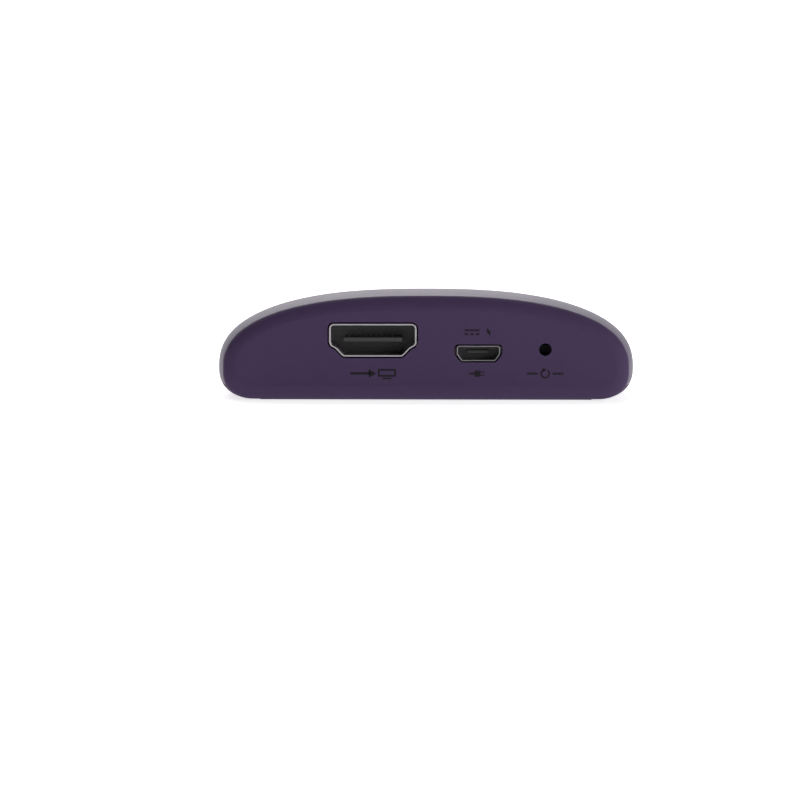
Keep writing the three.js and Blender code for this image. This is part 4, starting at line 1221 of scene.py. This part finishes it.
def capacitor_ceramic(node):
    """Tan ceramic with tinned ends."""
    low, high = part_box(node)
    centre = [(a + b) / 2 for a, b in zip(low, high)]
    finish = Finish(f"capacitor_ceramic_{node}")
    spot = finish.add("ShaderNodeSeparateXYZ", {}, {0: finish.place(centre)}, 0)
    from_middle = finish.add("ShaderNodeMath", {"operation": "ABSOLUTE"}, {0: spot})
    half = (high.x - low.x) / 2
    ceramic = finish.below(from_middle, half * 0.62, 0.04 * MM)
    cloud = finish.noise(0.5 * MM, 3.0)
    tan = finish.blend(cloud, (0.30, 0.19, 0.10), (0.40, 0.27, 0.15))
    colour = finish.blend(ceramic, (0.55, 0.55, 0.54), tan)
    return finish.coat(Base_Color=colour, Metallic=1 - ceramic, Roughness=0.32 + ceramic * 0.12)


# %% [markdown]
# The board is glass laminate under green solder mask. Fine parallel tracks show through the mask
# as slightly lighter lines wherever a patch of noise lets them, with gilt via holes scattered
# between. The cut edges show the bare yellowish laminate, found by how far the surface turns
# away from up.


# %% The board
def board_laminate():
    finish = Finish("board_laminate")
    facing = finish.add("ShaderNodeNewGeometry", {}, {}, "Normal")
    upward = finish.add("ShaderNodeSeparateXYZ", {}, {0: facing}, 2)
    flatness = finish.add("ShaderNodeMath", {"operation": "ABSOLUTE"}, {0: upward})
    edge = finish.below(flatness, 0.5, 0.1)
    bands = {"wave_type": "BANDS", "bands_direction": "DIAGONAL", "wave_profile": "SIN"}
    wave = {"Vector": finish.place(), "Scale": 160.0, "Distortion": 0.0}
    tracks = finish.add("ShaderNodeTexWave", bands, wave, "Fac")
    patch = finish.below(finish.noise(5 * MM, 1.0), 0.48, 0.04)
    track = (1 - finish.below(tracks, 0.55, 0.1)) * patch
    via = finish.below(finish.specks(2.2 * MM), 0.11, 0.02) * (1 - edge)
    mask = finish.blend(track, (0.006, 0.045, 0.022), (0.016, 0.095, 0.045))
    plated = finish.blend(via, mask, (0.62, 0.45, 0.20))
    colour = finish.blend(edge, plated, (0.30, 0.26, 0.13))
    level = 0.28 + edge * 0.4 + finish.noise(0.6 * MM) * 0.08
    surface = track * 0.6 + via * 0.4
    return finish.coat(
        Base_Color=colour, Metallic=via, Roughness=level, Normal=finish.relief(surface, 0.03 * MM)
    )


# %% [markdown]
# Every CAD node that stays gets the finish of its material slot, taken from the record, so the
# mapping is written once for each slot. A mesh from CAD is left alone: only what covers it is
# changed. Two pieces differ from the rest of their slot, both darkened with painted shade: the
# power socket's shell is a darker metal than the video socket's nickel, so its rim reads dimmer,
# and the reset switch's cover is painted near-black, so nothing bright shows through the pinhole.

# %% Finishes for the record's slots
nickel = rolled_metal("nickel_shell", (0.46, 0.44, 0.46), 0.36, along=1)
# Painted shade: a darker copy of the shell metal, so the power socket's rim reads dimmer than the
# video socket's.
shaded_shell_metal = rolled_metal("power_shell_shaded_metal", (0.24, 0.235, 0.245), 0.4, along=1)
# Painted shade: the switch cover is made near-black because it is only seen in shadow through the
# pinhole.
painted_shade_steel = rolled_metal("painted_shade_spring_steel", (0.02, 0.02, 0.022), 0.6, along=0)
socket_nylon = filled("socket_resin", (0.024, 0.024, 0.025), 0.5)
slot_finishes = {
    "cover_plastic": cover_plastic(),
    "base_plastic": base_plastic(),
    "smoked_plastic": smoked_acrylic(),
    "board_laminate": board_laminate(),
    "socket_resin": socket_nylon,
    "nickel_shell": nickel,
    "shield_steel": rolled_metal("shield_steel", (0.58, 0.57, 0.55), 0.36, along=0),
    "spreader_aluminium": rolled_metal("spreader_aluminium", (0.72, 0.73, 0.74), 0.38, along=0),
    "screw_steel": black_zinc(),
    "spring_bronze": rolled_metal("spring_bronze", (0.62, 0.42, 0.20), 0.3, along=2),
    "pad_rubber": filled("pad_rubber", (0.25, 0.29, 0.35), 0.75, speck=0.3 * MM, fleck=0.8),
    "ferrite": filled("ferrite", (0.045, 0.045, 0.048), 0.62, speck=0.2 * MM, fleck=1.5),
    # Painted shade: the plunger is near-black so that the pinhole reads black, as the shadow inside
    # it does.
    "plunger_resin": filled("plunger_resin", (0.007, 0.007, 0.008), 0.8),
    "receiver_resin": filled("receiver_resin", (0.014, 0.006, 0.009), 0.22, depth=0.001 * MM),
    "led_body": filled("led_body", (0.72, 0.70, 0.64), 0.45, speck=0.25 * MM, fleck=1.05),
}
own_finishes = {"chip_resin": chip_epoxy, "capacitor_ceramic": capacitor_ceramic}
# Partly real gilt, partly painted shade: the gilt is much darker than bare gold, for the shade deep
# inside the sockets.
gilt = rolled_metal("contact_gilt_and_painted_shade", (0.36, 0.26, 0.12), 0.45, along=1)
ink = printed_ink()


def coated(piece, material):
    piece.data.materials.clear()
    piece.data.materials.append(material)


for part in frame["record"]["subparts"]:
    node, slot = part["node"], part["material_slot"]
    material = own_finishes[slot](node) if slot in own_finishes else slot_finishes[slot]
    coated(bpy.data.objects[node], material)
# Painted shade: the reset switch's cover takes the near-black steel so the pinhole reads dark.
coated(bpy.data.objects["reset_switch_cover"], painted_shade_steel)
print("finishes:", len(bpy.data.materials))

# %% [markdown]
# Each new piece is attached to the body it moves with and coated. The fittings take their slot's
# finish and hide the CAD node that each stands for. All of them belong to the player's main body.
# Only the little reset plunger, seen through its pinhole, moves, and it is a CAD node that stays.

# %% Pieces on the frame
PLAYER = "player"
fittings = [
    (cover, "cover_plastic", "top_cover"),
    (base, "base_plastic", "base_shell"),
    (window, "smoked_plastic", "ir_window"),
    (video_shell, "nickel_shell", "hdmi_shell"),
    (power_shell, "nickel_shell", "usb_shell"),
    (video_block, "socket_resin", "hdmi_insulator"),
    (power_block, "socket_resin", "usb_insulator"),
]
for piece, slot, node in fittings:
    coated(piece, slot_finishes[slot])
    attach(piece, PLAYER)
    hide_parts(node)
# Painted shade: the power shell takes the darker shell metal, so its rim reads dimmer.
coated(power_shell, shaded_shell_metal)
# The contacts take the darkened gilt, which carries painted shade.
for piece in (video_contacts, power_contacts):
    coated(piece, gilt)
    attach(piece, PLAYER)
for piece in signs:
    coated(piece, ink)
    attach(piece, PLAYER)
bpy.data.objects.remove(whole_form, do_unlink=True)

# %% [markdown]
# The player stands on white paper that curves up behind it, so no horizon shows. The paper glows
# like a lit table, which keeps it white and fills the shadow under the player without flooding
# it with light from above. It is one plane, extruded up along its far edge, with the fold
# bevelled.

# %% Paper sweep
PAPER_SIZE = 3.0
SWEEP_Y = -1.3
SWEEP_HEIGHT = 1.8
SWEEP_RADIUS = 0.5
PAPER_GLOW = 0.72

bpy.ops.object.select_all(action="DESELECT")
bpy.ops.mesh.primitive_plane_add(size=PAPER_SIZE, location=(0, SWEEP_Y + PAPER_SIZE / 2, 0))
paper = started("paper_sweep")
edit(paper)
pick(paper, lambda edge: abs(middle(edge).y - SWEEP_Y) < NEAR, "EDGE")
pushed(z=SWEEP_HEIGHT)
pick(paper, lambda edge: abs(middle(edge).y - SWEEP_Y) + abs(middle(edge).z) < NEAR, "EDGE")
bpy.ops.mesh.bevel(offset=SWEEP_RADIUS, segments=24)
leave()
smooth(paper, 60)


def white_paper():
    finish = Finish("white_paper")
    fibre = finish.noise(3 * MM, 4.0)
    colour = finish.blend(fibre, (0.86, 0.86, 0.86), (0.89, 0.89, 0.89))
    white = (1.0, 1.0, 1.0, 1.0)
    return finish.coat(
        Base_Color=colour, Roughness=0.9, Emission_Color=white, Emission_Strength=PAPER_GLOW
    )


coated(paper, white_paper())

# %% [markdown]
# Three softboxes light it. The large one hangs above and beyond the player. It gives the cover
# its long sheen, leaves the rolled edge below it dark, and is faintly lilac, which keeps that
# sheen from looking grey. The second stands low at one side and models the rear face. The third
# only lights the paper beyond. The room itself is nearly dark.


# %% Softboxes
def softbox(name, place, target, size, power, colour=(1, 1, 1)):
    light = bpy.data.lights.new(name, "AREA")
    light.color = colour
    light.shape = "RECTANGLE"
    light.size, light.size_y = size
    light.energy = power
    lamp = bpy.data.objects.new(name, light)
    bpy.context.scene.collection.objects.link(lamp)
    lamp.location = place
    lamp.rotation_mode = "QUATERNION"
    lamp.rotation_quaternion = (Vector(target) - Vector(place)).to_track_quat("-Z", "Y")


LILAC = (0.98, 0.9, 1.0)
ON_PLAYER = (0, 0, 0.01)
ON_PAPER = (0, -1.2, 0.3)
softbox("back_softbox", (0.3, -0.6, 0.85), ON_PLAYER, size=(1.2, 0.8), power=4.8, colour=LILAC)
softbox("side_softbox", (-0.5, 0.36, 0.12), ON_PLAYER, size=(0.45, 0.4), power=2.5)
softbox("paper_softbox", (0, -0.6, 1.6), ON_PAPER, size=(1.6, 0.6), power=6.5)

ROOM = 0.08
world = bpy.data.worlds.new("room")
world.use_nodes = True
world.node_tree.nodes["Background"].inputs["Color"].default_value = (ROOM, ROOM, ROOM, 1)
bpy.context.scene.world = world
